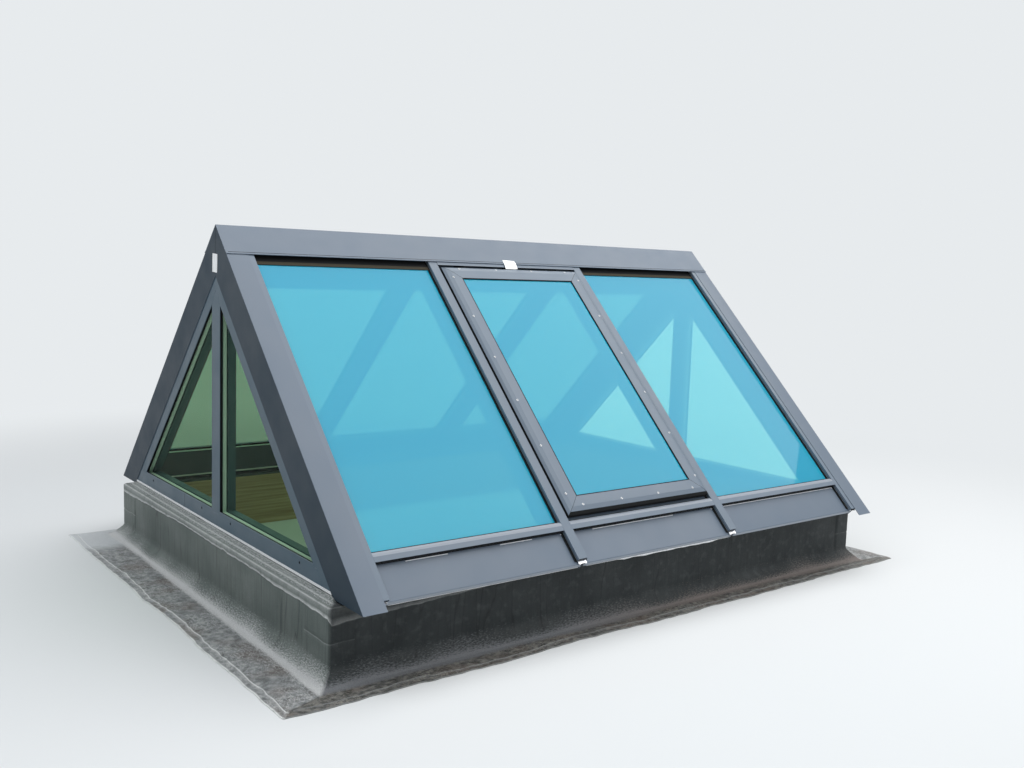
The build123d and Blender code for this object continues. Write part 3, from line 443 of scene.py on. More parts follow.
def roof_rows(side, along, a, patch):
    gable, rows, foot_end = side % 2 == 1, [], FILLET[-1][0]
    for out, z, foot in FILLET:
        grown = abs(wander(along + out * 5, 40, 12, 0.0016))
        rows.append((out + grown + patch * 0.4, z + grown, 0, foot + wander(along, 42, 4, 0.22), z < 0.01))
    far = PAST_WALL[gable] + wander(along, 50 + side, 3, 0.016) + wander(along, 51, 19, 0.007)
    if not gable:
        far -= 0.020 * (1 + a) if side == 0 else 0.012
    far = min(far, PAST_MOST[gable])
    inner = far - 0.036 + wander(along, 54, 5, 0.014) + wander(along, 55, 24, 0.005)
    for k in range(1, 9):
        out = foot_end + (inner - 0.003 - foot_end) * k / 8
        wrinkle = abs(wander(along + out * 3, 60, 9, 0.0026)) + abs(wander(along - out * 5, 61, 37, 0.0016))
        rows.append((out, FELT + 0.0022 + wrinkle * (1 - k / 9), 0, 0.15 * max(0, 1 - k / 4), 1))
    middle = FELT - 0.0016 + abs(wander(along, 62, 15, 0.001))
    # The third number here is painted highlight along the felt's edges on the roof.
    edge = [(inner, FELT + 0.0016, 1), (inner + 0.002, FELT - 0.0012, 0.2), ((inner + far) / 2, middle, 0.0),
            (far - 0.007, FELT - 0.0018, 0.05), (far - 0.003, FELT - 0.0022, 0.95), (far, FELT - 0.0034, 1),
            (far + 0.0012, 0.0, 0.6)]
    return rows + [(out, z, lap, 0, 1) for out, z, lap in edge]


def section(side, along, a, corner):
    """Rows (out, z, lap, foot, flat) at one column; corner is how far the nearest corner is."""
    gable = side % 2 == 1
    patch = PATCH_T if corner < PATCH_REACH[gable] else 0.0
    lap = sum(SEAM_T * max(0.0, 1 - (a - s) * BOARD[not gable] / SEAM_FADE) for s in SEAMS[side] if a > s)
    inside = [(CANT + 0.004, 0.0, 0, 0, 1), (0.0, CANT + 0.004, 0, 0, 0), (0.0, CURB_TOP - FELT, 0, 0, 0),
              (INNER_EDGE, CURB_TOP - FELT, 0, 0, 0)]
    return (top_rows(gable, along) + wall_rows(gable, along, cap_edge(gable, along, a), lap, patch)
            + roof_rows(side, along, a, patch) + inside)


print("rows in one section:", len(section(0, 0.0, 0.0, 1.0)))

# %% Felt: the columns round the four walls


def side_places(side):
    """Places along one side, from -1 to 1, with a pair of columns at each lap and patch edge."""
    gable = side % 2 == 1
    half = BOARD[not gable]
    steps = round(2 * half / COLUMN_STEP)
    places = [-1 + 2 * i / steps for i in range(steps + 1)]
    for edge in list(SEAMS[side]) + [sign * (1 - PATCH_REACH[gable] / half) for sign in (-1, 1)]:
        places = [p for p in places if abs(p - edge) * half > PAIR_CLEAR]
        places += [edge - PAIR_GAP / half, edge + PAIR_GAP / half]
    return sorted(places)


def felt_columns():
    """Columns of rows (x, y, z, lap, foot, flat, gable, seam), with each one's distance along the walls."""
    columns, run, start = [], [], 0.0
    for side, (outward, forward) in enumerate(SIDES):
        gable = side % 2 == 1
        half = BOARD[not gable]
        here = [(a, section(side, start + (a + 1) * half, a, (1 - abs(a)) * half)) for a in side_places(side)]
        other = {end: section((side + end) % 4, start + (end + 1) * half, -end, 0.0) for end in (-1, 1)}
        for a, rows in here:
            column = []
            seam = float(any(abs(a - s) * half < SEAM_NEAR for s in SEAMS[side]))
            for k, (out, z, lap, foot, flat) in enumerate(rows):
                ends = [half + other[end][k][0] - CORNER_R for end in (-1, 1)]
                along = (-ends[0] * (1 - a) + ends[1] * (1 + a)) / 2
                x, y = (outward[i] * (BOARD[gable] + out) + forward[i] * along for i in (0, 1))
                column.append((x, y, z, lap, foot, flat, float(gable), seam * (z > SEAM_FROM)))
            columns.append(column)
            run.append(start + (a + 1) * half)
        columns += corner_columns(side, columns[-1], other[1])
        run += [start + 2 * half + CORNER_RUN * n for n in (1, 2, 3)]
        start += 2 * half + CORNER_RUN * 4
    return columns, run, start


def corner_columns(side, last, following):
    """Three columns that carry every row round the corner after this side."""
    outward, forward = SIDES[side]
    turned = []
    for share in CORNER_TURNS:
        ahead, across = math.cos(share * math.pi / 2), math.sin(share * math.pi / 2)
        column = []
        for (x, y, z, lap, foot, flat, gable, seam), after in zip(last, following):
            x, y = (value - outward[i] * CORNER_R + CORNER_R * (outward[i] * ahead + forward[i] * across)
                    for i, value in enumerate((x, y)))
            z += (after[1] - z) * share
            column.append((x, y, z, lap, foot, flat, gable + (1 - 2 * gable) * share, seam))
        turned.append(column)
    return turned


print("columns along each side:", [len(side_places(side)) for side in range(4)])

# %% Felt: the mesh


def felt_ring():
    columns, run, total = felt_columns()
    count = len(columns[0])
    lengths = []
    for column in columns:
        lengths.append([0.0])
        for one, two in zip(column, column[1:]):
            lengths[-1].append(lengths[-1][-1] + (Vector(two[:3]) - Vector(one[:3])).length)
    faces, corners = [], []
    for j in range(len(columns)):
        after = (j + 1) % len(columns)
        far = run[after] if after else total
        for k in range(count):
            up = (k + 1) % count
            faces.append((j * count + k, j * count + up, after * count + up, after * count + k))
            down = lengths[j][up] if up else lengths[j][k] + FELT
            corners += [(run[j], lengths[j][k]), (run[j], down), (far, down), (far, lengths[j][k])]
    mesh = new_mesh("felt_skin", [row[:3] for column in columns for row in column], faces)
    layer = mesh.uv_layers.new(name="felt_run")
    for loop, place in zip(layer.data, corners):
        loop.uv = place
    for index, name in enumerate(("lap", "foot", "flat", "gable", "seam"), start=3):
        values = mesh.attributes.new(name, "FLOAT", "POINT")
        values.data.foreach_set("value", [float(row[index]) for column in columns for row in column])
    for face in mesh.polygons:
        face.use_smooth = True
    return new_piece("felt_skin", mesh)


felt_skin = felt_ring()
print("felt skin:", len(felt_skin.data.polygons), "faces")

# %% [markdown]
# The felt is nearly black where it faces the eaves, greyer and streaked on the gable walls, and its foot is
# brushed with a lighter coat that has caught grit. The mesh carries five numbers at each point: how much
# painted highlight a lap edge or ridge gives it, how near the worn foot, whether it lies flat on the roof,
# whether it is a gable wall, and whether an upright seam runs there. The finish mixes its colours by them.
# The streaks run down the walls because they follow the skin's own map, in metres along and down. Torn
# fibres show as the thin lines where a noise crosses its middle value.

# %% Felt: patterns


def carried(tree, name):
    return add(tree, "ShaderNodeAttribute", attribute_name=name).outputs["Fac"]


def along_skin(tree, scale, detail=3.0):
    """Noise on the skin's own map; scale is in repeats for each metre, along and down."""
    place = add(tree, "ShaderNodeUVMap", uv_map="felt_run")
    mapping = add(tree, "ShaderNodeMapping", {"Scale": (*scale, 1), "Vector": place.outputs["UV"]})
    wanted = {"Scale": 1.0, "Detail": detail, "Vector": mapping.outputs["Vector"]}
    return add(tree, "ShaderNodeTexNoise", wanted).outputs["Fac"]


def maths(tree, kind, first, second):
    return add(tree, "ShaderNodeMath", {0: first, 1: second}, operation=kind, use_clamp=True).outputs[0]


def both(tree, first, second):
    return maths(tree, "MULTIPLY", first, second)


def blended(tree, first, share, second):
    """A weighted sum of two patterns; the shares add up to one."""
    return maths(tree, "ADD", both(tree, first, share), both(tree, second, 1 - share))


def near_corner(tree, place, reach):
    """1 at a place on the piece, falling to 0 at reach, in metres."""
    where = add(tree, "ShaderNodeTexCoord")
    gap = add(tree, "ShaderNodeVectorMath", {0: where.outputs["Object"], 1: place}, operation="DISTANCE")
    return fade(tree, both(tree, gap.outputs["Value"], 1 / reach), 0.6, 1.0, 1, 0)


def fibres(tree, scale, width, detail=5.0):
    """Thin wandering lines on the skin's own map."""
    return ramp(tree, along_skin(tree, scale, detail),
                [(0.5 - width, (0, 0, 0)), (0.5, (1, 1, 1)), (0.5 + width, (0, 0, 0))])


# %% Felt: finish


def felt_wall(tree, gable, cloud, scuffs):
    eave = ramp(tree, cloud, [(0.32, (0.020, 0.026, 0.028)), (0.68, (0.050, 0.058, 0.060))])
    eave = mixed(tree, fade(tree, scuffs, 0.52, 0.80, 0, 0.45), eave, (0.125, 0.135, 0.140))
    end = ramp(tree, cloud, [(0.34, (0.130, 0.160, 0.150)), (0.68, (0.235, 0.268, 0.252))])
    wall = mixed(tree, gable, eave, end)
    streaks = fade(tree, along_skin(tree, (70, 5.0), 5), 0.32, 0.58, 0.84, 1.0)
    cracks = fade(tree, fibres(tree, (7.0, 0.5), 0.005, 2.0), 0.0, 1.0, 1.0, 0.55)
    return mixed(tree, 1.0, mixed(tree, 1.0, wall, streaks, "MULTIPLY"), cracks, "MULTIPLY")


def felt_roof(tree, gable, cloud, scuffs):
    spread = blended(tree, pattern(tree, 42.0, 8), 0.6, scuffs)
    dark = ramp(tree, spread, [(0.40, (0.040, 0.041, 0.038)), (0.50, (0.100, 0.103, 0.100)),
                               (0.60, (0.22, 0.215, 0.20))])
    worn = ramp(tree, spread, [(0.38, (0.150, 0.160, 0.162)), (0.50, (0.260, 0.275, 0.280)),
                               (0.62, (0.42, 0.43, 0.43))])
    rust = fade(tree, pattern(tree, 6.0, 4), 0.48, 0.66, 0, 0.5)
    roof = mixed(tree, rust, mixed(tree, gable, dark, worn), (0.150, 0.112, 0.092))
    torn = both(tree, fibres(tree, (46, 60), 0.030), fade(tree, cloud, 0.38, 0.58, 0.2, 1.0))
    roof = mixed(tree, torn, roof, mixed(tree, gable, (0.36, 0.34, 0.30), (0.62, 0.63, 0.63)))
    silver = both(tree, near_corner(tree, (-1.81, 1.30, 0), 0.36), fade(tree, cloud, 0.34, 0.44, 0.25, 0.95))
    return mixed(tree, silver, roof, (0.62, 0.65, 0.67)), spread


def felt():
    material, tree, surface = start_finish("bitumen_felt", (0.06, 0.07, 0.07), 0.62, mirror=0.3)
    scuffs, grain = along_skin(tree, (24, 24), 7), along_skin(tree, (80, 190), 6)
    cloud, fine = pattern(tree, 3.2, 6), pattern(tree, 420.0, 4)
    gable, flat = carried(tree, "gable"), carried(tree, "flat")
    roof, spread = felt_roof(tree, gable, cloud, scuffs)
    base = mixed(tree, flat, felt_wall(tree, gable, cloud, scuffs), roof)
    worn = blended(tree, carried(tree, "foot"), 0.5, grain)
    browner = near_corner(tree, (1.6, -1.4, 0), 2.2)
    eave_foot = mixed(tree, browner, (0.200, 0.210, 0.225), (0.215, 0.188, 0.176))
    foot = mixed(tree, gable, eave_foot, (0.68, 0.69, 0.69))
    footed = mixed(tree, fade(tree, worn, 0.45, 0.64), base, foot)
    seam = both(tree, carried(tree, "seam"), fade(tree, scuffs, 0.40, 0.58, 0.2, 0.75))
    seamed = mixed(tree, seam, footed, (0.02, 0.022, 0.022))
    # Lap edges and ridges are paler: painted highlight.
    edge_highlight = both(tree, carried(tree, "lap"), fade(tree, scuffs, 0.32, 0.50, 0.55, 1.0))
    lapped = mixed(tree, edge_highlight, seamed, mixed(tree, gable, (0.23, 0.24, 0.24), (0.88, 0.90, 0.89)))
    speck = fade(tree, fine, 0.32, 0.66, 0.62, 1.0)
    tree.links.new(mixed(tree, 1.0, lapped, speck, "MULTIPLY"), surface.inputs["Base Color"])
    first = bumped(tree, surface, grain, 0.0014, 0.5)
    second = bumped(tree, surface, scuffs, 0.0018, 0.5, after=first)
    third = bumped(tree, surface, both(tree, spread, flat), 0.008, 0.7, after=second)
    bumped(tree, surface, fine, 0.0008, 0.6, after=third)
    return material


bitumen_felt = felt()
felt_skin.data.materials.append(bitumen_felt)
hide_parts("curb_felt")
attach(felt_skin, "frame")
print("felt finish:", len(bitumen_felt.node_tree.nodes), "nodes")

# %% [markdown]
# Each CAD node keeps its mesh and gets its finish here, in one table from finish to pieces.

# %% Finishes onto the frame
FINISHES = {
    sheet_coat: ("ridge_cap", "apron_sheets_", "verge_sheets_"),
    shaded_inner_coat: ("rafters_", "ridge_beam", "eave_beam_"),
    bar_coat: ("rafter_caps_", "eave_caps_", "vent_frame", "sash_frame", "sash_cover"),
    gable_coat: ("gable_stiles_", "gable_rail_", "mullion_", "gable_beads"),
    clear_glass: ("pane_front_", "pane_rear_", "pane_sash"),
    gable_glass: ("pane_gable_",),
    black_rubber_and_shade: ("outer_gaskets_", "seat_gaskets_", "ridge_seals_", "base_seal", "gable_gaskets",
                   "vent_seal", "sash_gasket"),
    spacer_bar: ("spacers_", "spacer_sash", "gable_spacers"),
    mill_aluminium: ("pressure_plates_",),
    sky_reflection_white: ("sill_plates",),
    coated_steel: ("hinge_bases", "hinge_leaves"),
    stainless: ("hinge_pins", "chain_bracket"),
    drive_metal: ("chain_drive",),
    sawn_timber: ("curb_boards", "cant_strips"),
    insulation: ("verge_fillers", "apron_cores_"),
    bitumen_felt: ("curb_felt",),
}


def dress_frame():
    dressed = set()
    for finish, starts in FINISHES.items():
        for name, piece in nodes.items():
            if name.startswith(starts) and name not in dressed:
                piece.data.materials.clear()
                piece.data.materials.append(finish)
                dressed.add(name)
    return sorted(set(nodes) - dressed)


print("left without a finish:", dress_frame())

# %% [markdown]
# The film lies on the outermost face of each sloping pane, so only the triangles of that face take it.

# %% Film on the outer faces
FACING, SAME_PLANE = 0.999, 0.0005


def film_outside(piece, outward):
    mesh = piece.data
    mesh.materials.append(cyan_film)
    reach = max(outward.dot(v.co) for v in mesh.vertices)
    outer = [face for face in mesh.polygons
             if face.normal.dot(outward) > FACING and outward.dot(face.center) > reach - SAME_PLANE]
    for face in outer:
        face.material_index = 1
    return len(outer)


for name, piece in nodes.items():
    if name.startswith(("pane_front_", "pane_rear_", "pane_sash")):
        outward = Vector((0, 1 if "rear" in name else -1, 1)).normalized()
        print(name, "film on", film_outside(piece, outward), "triangles")

# %% [markdown]
# Most places below lie on a slope. It is easier to give them as metres across, metres down from the ridge
# and metres in from the face of the caps, and to turn those into the lantern's own axes.

# %% Places on a slope
RIDGE_Z, SLOPE = 1.75002, math.sqrt(0.5)
SLOPES = ((-1, "front"), (1, "rear"))


def on_slope(x, down, depth, side=-1):
    """World place of a point down the slope; side is -1 for the front and 1 for the rear."""
    return Vector((-side * x, side * (down - depth) * SLOPE, RIDGE_Z - (down + depth) * SLOPE))


def how_far_down(face):
    return (RIDGE_Z - face.center.z + abs(face.center.y)) * SLOPE


print("eave edge at", [round(v, 3) for v in on_slope(0, 1.98, 0.024)])

# %% [markdown]
# CAD edges are perfectly sharp, and real ones never are: a folded sheet has a bend of two or three
# millimetres and an extruded bar a small radius. Each visible metal piece is copied, its triangles are
# joined into whole faces, and its outward edges are rounded. Edges of thin cut faces stay sharp, as cut
# metal does. Some faces take a second finish, which is painted light or shade: the outer legs of the verge
# sheets are darker as painted shade, bevels that look straight up, the aprons' folded lips and the tops of
# the gable rails are paler as painted highlight, the foot of an eave cap is painted black for its own shadow,
# and the vent cover's outer edge, with the steep bevel at its foot, is painted black as shade.

# %% Faces with a second finish
SASH_X, SASH_HEAD, SASH_FOOT, EDGE_BEVEL = 0.460, 0.226, 1.7559, 0.013
LIT_TO, LIP_FROM = 1.797, 1.9812


# The faces picked here take black as painted shade.
def on_shaded_cover_edge(face):
    """True for faces round the outside of the vent cover, with its steep bevel at the foot."""
    down = how_far_down(face)
    tilt = face.normal.dot(Vector((0, -SLOPE, -SLOPE)))
    across = abs(face.normal.x) > 0.9 and abs(face.center.x) > SASH_X - 0.001
    return across or tilt > 0.5 and down > SASH_FOOT - EDGE_BEVEL or tilt < -0.9 and down < SASH_HEAD + 0.001


def on_cap_head(face):
    """True for the bevel of an eave cap and the strip of its face next to it."""
    return face.normal.z > 0.93 or face.normal.z > 0.70 and how_far_down(face) < LIT_TO


SECOND_FINISH = (("verge", shaded_side_coat, lambda face: abs(face.normal.x) > 0.8),
                 ("apron_sheets", lit_edge, lambda face: how_far_down(face) > LIP_FROM),
                 ("eave_caps", lit_edge, on_cap_head),
                 ("eave_caps", black_rubber_and_shade, lambda face: face.normal.z < -0.6),
                 ("gable_rail", lit_edge, lambda face: face.normal.z > 0.9),
                 ("sash_cover", black_rubber_and_shade, on_shaded_cover_edge))

# %% Rounded edges
ROUNDING = {0.0025: ("ridge_cap", "verge_sheets_"), 0.0022: ("apron_sheets_",),
            0.0012: ("rafter_caps_", "eave_caps_", "sash_cover", "gable_rail_", "mullion_", "gable_stiles_")}
SAME_POINT, FLAT_TURN, SHARP_TURN, BROAD, BEND_STEPS = 1e-5, math.radians(0.5), math.radians(18), 1.3, 3


def whole_faces(name):
    """A copy of a CAD piece with its triangles joined and faces that lie on each other taken out."""
    work = bmesh.new()
    work.from_mesh(nodes[name].data)
    bmesh.ops.remove_doubles(work, verts=work.verts, dist=SAME_POINT)
    bmesh.ops.dissolve_limit(work, angle_limit=FLAT_TURN, verts=work.verts, edges=work.edges)
    meeting = {}
    for face in work.faces:
        meeting.setdefault(frozenset(v.index for v in face.verts), []).append(face)
    twice = [face for pair in meeting.values() if len(pair) > 1 for face in pair]
    bmesh.ops.delete(work, geom=twice, context="FACES_ONLY")
    return work


def rounded(name, width):
    """A rounded copy that stands for the CAD node."""
    work = whole_faces(name)

    def broad(face):
        return 2 * face.calc_area() / face.calc_perimeter() > BROAD * width

    edges = [e for e in work.edges if len(e.link_faces) == 2 and e.is_convex
             and e.calc_face_angle(0) > SHARP_TURN and all(broad(f) for f in e.link_faces)]
    if name.startswith("eave_caps"):
        side = 1 if name.endswith("rear") else -1
        everything = list(work.verts) + list(work.edges) + list(work.faces)
        cut = on_slope(0, LIT_TO, 0, side)
        bmesh.ops.bisect_plane(work, geom=everything, plane_co=cut, plane_no=(0, side, -1))
        edges = [e for e in edges if e.is_valid]
    bmesh.ops.bevel(work, geom=edges, offset=width, offset_type="OFFSET", segments=BEND_STEPS, profile=0.5,
                    affect="EDGES", clamp_overlap=True)
    mesh = bpy.data.meshes.new(name + "_rounded")
    work.to_mesh(mesh)
    work.free()
    mesh.materials.append(nodes[name].data.materials[0])
    for start, finish, chosen in SECOND_FINISH:
        if name.startswith(start):
            mesh.materials.append(finish)
            for face in mesh.polygons:
                if chosen(face):
                    face.material_index = len(mesh.materials) - 1
    piece = new_piece(name + "_rounded", mesh)
    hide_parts(name)
    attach(piece, "sash" if name.startswith("sash") else "frame")
    return len(edges)


for width, starts in ROUNDING.items():
    for name in sorted(nodes):
        if name.startswith(starts):
            print(name, "edges rounded:", rounded(name, width))

# %% [markdown]
# Small fixings repeat in rows, so Geometry Nodes make them. One tree takes a mesh of places and puts the
# same head on each: a thin flange, a crown that narrows upwards and a dark six-sided socket. Each head is
# turned by a random angle with a fixed seed, because nobody drives screws to one angle. The tree ends with
# real faces and real finishes, and its result is kept as a plain mesh.

# %% A tree for fixings
ROUND_SIDES, SOCKET_SIDES, SOCKET_THICK = 24, 6, 0.0004


def multiplied(tree, first, second):
    return add(tree, "ShaderNodeMath", {0: first, 1: second}, operation="MULTIPLY").outputs[0]


def fixing_head(tree, given):
    """Flange, crown and socket, joined; the socket's faces carry a mark."""
    radius, height = given["Radius"], given["Height"]
    flange = add(tree, "GeometryNodeMeshCylinder", {
        "Vertices": ROUND_SIDES, "Radius": radius, "Depth": multiplied(tree, height, 0.5)})
    crown = add(tree, "GeometryNodeMeshCone", {
        "Vertices": ROUND_SIDES, "Depth": height, "Radius Top": multiplied(tree, radius, given["Crown"]),
        "Radius Bottom": multiplied(tree, radius, 0.9)})
    hole = add(tree, "GeometryNodeMeshCylinder", {
        "Vertices": SOCKET_SIDES, "Radius": given["Socket radius"], "Depth": SOCKET_THICK})
    lift = add(tree, "ShaderNodeCombineXYZ", {"Z": height}).outputs[0]
    raised = add(tree, "GeometryNodeTransform", {"Geometry": hole.outputs["Mesh"], "Translation": lift})
    marked = add(tree, "GeometryNodeStoreNamedAttribute", {
        "Geometry": raised.outputs[0], "Name": "socket_face"}, data_type="BOOLEAN", domain="FACE")
    next(s for s in marked.inputs if s.name == "Value" and s.enabled).default_value = True
    head = add(tree, "GeometryNodeJoinGeometry")
    for part in (marked.outputs[0], crown.outputs["Mesh"], flange.outputs["Mesh"]):
        tree.links.new(part, head.inputs[0])
    return head.outputs[0]


def fixing_tree():
    tree = bpy.data.node_groups.new("fixings", "GeometryNodeTree")
    wanted = {"Places": "Geometry", "Radius": "Float", "Height": "Float", "Crown": "Float",
              "Socket radius": "Float", "Lean": "Float", "Turn": "Float", "Seed": "Int",
              "Head finish": "Material", "Socket finish": "Material"}
    for name, kind in wanted.items():
        tree.interface.new_socket(name, in_out="INPUT", socket_type="NodeSocket" + kind)
    tree.interface.new_socket("Fixings", in_out="OUTPUT", socket_type="NodeSocketGeometry")
    given = tree.nodes.new("NodeGroupInput").outputs
    lean = add(tree, "ShaderNodeCombineXYZ", {"X": given["Lean"], "Y": given["Turn"]})
    aimed = add(tree, "FunctionNodeEulerToRotation", {0: lean.outputs[0]})
    placed = add(tree, "GeometryNodeInstanceOnPoints", {
        "Points": given["Places"], "Instance": fixing_head(tree, given), "Rotation": aimed.outputs[0]})
    chance = add(tree, "FunctionNodeRandomValue", {"Seed": given["Seed"]}, data_type="FLOAT")
    lowest, highest = [s for s in chance.inputs if s.enabled][:2]
    lowest.default_value, highest.default_value = 0.0, math.tau
    about = add(tree, "ShaderNodeCombineXYZ", {"Z": next(s for s in chance.outputs if s.enabled)})
    spin = add(tree, "FunctionNodeEulerToRotation", {0: about.outputs[0]}).outputs[0]
    turned = add(tree, "GeometryNodeRotateInstances", {"Instances": placed.outputs[0], "Rotation": spin})
    real = add(tree, "GeometryNodeRealizeInstances", {"Geometry": turned.outputs[0]})
    coated = add(tree, "GeometryNodeSetMaterial", {
        "Geometry": real.outputs[0], "Material": given["Head finish"]})
    sockets = add(tree, "GeometryNodeInputNamedAttribute", {"Name": "socket_face"}, data_type="BOOLEAN")
    last = add(tree, "GeometryNodeSetMaterial", {
        "Geometry": coated.outputs[0], "Material": given["Socket finish"], "Selection": sockets.outputs[0]})
    tree.links.new(last.outputs[0], tree.nodes.new("NodeGroupOutput").inputs["Fixings"])
    return tree


FIXINGS = fixing_tree()
print("tree inputs:", [item.name for item in FIXINGS.interface.items_tree if item.in_out == "INPUT"])

# %% [markdown]
# The vent's cover frame is screwed down near its outer edge: six screws along each side, four along the
# head and four along the foot. They are bright stainless button heads. Small blind rivets hold the aprons,
# three on each side.

# %% Rows of screws and rivets
COVER_TOP, HEAD_RISE, APRON_TOP, QUARTER = -0.020, 0.0033, 0.024, math.radians(45)
SIDE_ROW_X, SIDE_ROW_FROM, SIDE_ROW_STEP = 0.4265, 0.308, 0.2686
CROSS_ROW_X, HEAD_ROW_DOWN, FOOT_ROW_DOWN = (-0.3615, -0.1205, 0.1205, 0.3615), 0.245, 1.717
RIVET_X, RIVET_DOWN = (-0.526, 0.458, 1.455), 1.826


def grow(name, places, body, slot, finishes, **sizes):
    maker = new_piece(name + "_maker", new_mesh(name + "_places", places, []))
    modifier = maker.modifiers.new("fixings", "NODES")
    modifier.node_group = FIXINGS
    values = {"Head finish": finishes[0], "Socket finish": finishes[1], "Seed": 7, "Turn": 0.0}
    values.update({key.replace("_", " ").capitalize(): value for key, value in sizes.items()})
    for item in FIXINGS.interface.items_tree:
        if item.in_out == "INPUT" and item.name in values:
            modifier[item.identifier] = values[item.name]
    evaluated = maker.evaluated_get(bpy.context.evaluated_depsgraph_get())
    mesh = bpy.data.meshes.new_from_object(evaluated)
    maker.modifiers.remove(modifier)
    bpy.data.objects.remove(maker)
    mesh.name = name
    new_piece(name, mesh, body)
    print(name, len(places), "pieces,", len(mesh.polygons), "faces")


cover_places = [on_slope(side * SIDE_ROW_X, SIDE_ROW_FROM + k * SIDE_ROW_STEP, COVER_TOP + 0.0002)
                for side in (-1, 1) for k in range(6)]
cover_places += [on_slope(x, FOOT_ROW_DOWN, COVER_TOP) for x in CROSS_ROW_X]
cover_places += [on_slope(x, HEAD_ROW_DOWN, COVER_TOP + HEAD_RISE) for x in CROSS_ROW_X]
grow("cover_screws", cover_places, "sash", "hinge_steel", (stainless, black_rubber_and_shade), radius=0.0056,
     height=0.0030, crown=0.62, socket_radius=0.0021, lean=QUARTER)
for side, word in SLOPES:
    grow("eave_rivets_" + word, [on_slope(x, RIVET_DOWN, APRON_TOP, side) for x in RIVET_X], "frame",
         "bare_aluminium", (mill_aluminium, black_rubber_and_shade), radius=0.0045, height=0.0022, crown=0.55,
         socket_radius=0.0012, lean=-side * QUARTER)

# %% [markdown]
# At the foot of each rafter the screw rib comes out from under its cap. It is an open extrusion with two
# round ports, which show as two bright dots. A port is a short tube on the end of the rib. Water that gets
# into the gable frames leaves by four slots in each bottom rail, and a small black cover sits over each.

# %% Ports at the rafter feet, and drain covers
RIB_END, PORT_DEPTH, PORT_APART = 1.9839, 0.018, 0.017
RAFTER_X = (-1.493, -0.493, 0.493, 1.493)
SLOT_Y, SLOT_Z, RAIL_FACE = (-0.903, -0.181, 0.181, 0.903), 0.384, 1.597
for side, word in SLOPES:
    places = [on_slope(x + step, RIB_END, PORT_DEPTH, side)
              for x in RAFTER_X for step in (-PORT_APART, PORT_APART)]
    grow("rib_ports_" + word, places, "frame", "bare_aluminium", (mill_aluminium, black_rubber_and_shade),
         radius=0.0044, height=0.0030, crown=0.80, socket_radius=0.0022, lean=-side * 3 * QUARTER)
for side, word in ((-1, "left"), (1, "right")):
    grow("drain_covers_" + word, [(side * RAIL_FACE, y, SLOT_Z) for y in SLOT_Y], "frame", "black_seal",
         (black_rubber_and_shade, black_rubber_and_shade), radius=0.0060, height=0.0010, crown=0.85, socket_radius=0.0020,
         turn=side * 2 * QUARTER)

# %% [markdown]
# Fine dark lines show where two lengths of metal meet: at the mitres of the vent cover, at the butt joint
# of each gable rail, where the verge sheets meet at the ridge and where the ridge cap's hem is turned back.
# On the real one these are hairline gaps filled with shadow and a little sealant; the line along the ridge
# cap's hem is painted shade. Here each is a ribbon one to three millimetres wide that follows the metal's own
# section.

# %% Joint lines
COVER_JOINT, GABLE_JOINT, HEM_SHADE_WIDTH, JOINT_PROUD = 0.0016, 0.0030, 0.0024, 0.00015
COVER_SECTION = ((0.0, -0.006), (0.012, -0.015), (0.034, -0.020), (0.086, -0.020))  # inward, depth
VERGE_FACE, HEM_END, HEM_DOWN, HEM_DEPTH = 1.6000, 1.590, 0.1736, -0.0060
BUTT_Y, RAIL_Z, PEAK_Z = 0.418, (0.336, 0.411), (1.528, 1.750)


def ribbon(name, lines, body, width):
    """Narrow strips; each line is (points, outward, sideways)."""
    points, faces = [], []
    for line, outward, sideways in lines:
        start = len(points)
        for place in line:
            base = Vector(place) + Vector(outward) * JOINT_PROUD
            points += [base - Vector(sideways) * width / 2, base + Vector(sideways) * width / 2]
        for k in range(len(line) - 1):
            a = start + 2 * k
            quad = [a, a + 1, a + 3, a + 2]
            u, v = points[a + 1] - points[a], points[a + 3] - points[a + 1]
            faces.append(quad if u.cross(v).dot(Vector(outward)) > 0 else quad[::-1])
    new_piece(name, new_mesh(name, points, faces, black_rubber_and_shade), body)
    print(name, len(lines), "lines")


def mitre(across, head):
    """One line over the cover's section, from its outer edge to the glass."""
    line = [on_slope(across * (SASH_X - inward), SASH_HEAD + inward if head else SASH_FOOT - inward, depth)
            for inward, depth in COVER_SECTION]
    outward = Vector((0, -SLOPE, SLOPE))
    return line, outward, (line[-1] - line[0]).normalized().cross(outward).normalized()


gable_lines, hem_lines = [], []
for side in (-1, 1):
    gable_lines.append(([(side * RAIL_FACE, -side * BUTT_Y, z) for z in RAIL_Z], (side, 0, 0), (0, 1, 0)))
    gable_lines.append(([(side * VERGE_FACE, 0, z) for z in PEAK_Z], (side, 0, 0), (0, 1, 0)))
    hem_lines.append(([on_slope(x, HEM_DOWN, HEM_DEPTH, side) for x in (-HEM_END, HEM_END)],
                      (0, side * SLOPE, SLOPE), (0, side * SLOPE, -SLOPE)))
ribbon("cover_mitre_lines", [mitre(across, head) for across in (-1, 1) for head in (True, False)], "sash",
       COVER_JOINT)
ribbon("gable_joint_lines", gable_lines, "frame", GABLE_JOINT)
ribbon("ridge_hem_lines", hem_lines, "frame", HEM_SHADE_WIDTH)

# %% [markdown]
# Thin straight pieces finish the lantern. A narrow flashing closes the gap between the ridge cap and the
# vent. Under the eave caps the bare edge of the eave plate shows here and there as a bright line, whose
# brightness is painted reflection. Each is a box from eight corners: two places across, two down the slope
# and two depths.

# %% Flashing and bare edges
BAR_FACES = ((0, 1, 3, 2), (4, 6, 7, 5), (0, 4, 5, 1), (2, 3, 7, 6), (0, 2, 6, 4), (1, 5, 7, 3))
FLASHING = ((-0.467, 0.467), (0.176, 0.205), (-0.0016, -0.0006))
BARE_SPANS = ((-1.325, -1.125), (-0.86, -0.69), (-0.34, 0.18), (0.53, 1.45))
BARE_DOWN, BARE_DEPTH = (1.8236, 1.8268), (0.0224, 0.0240)


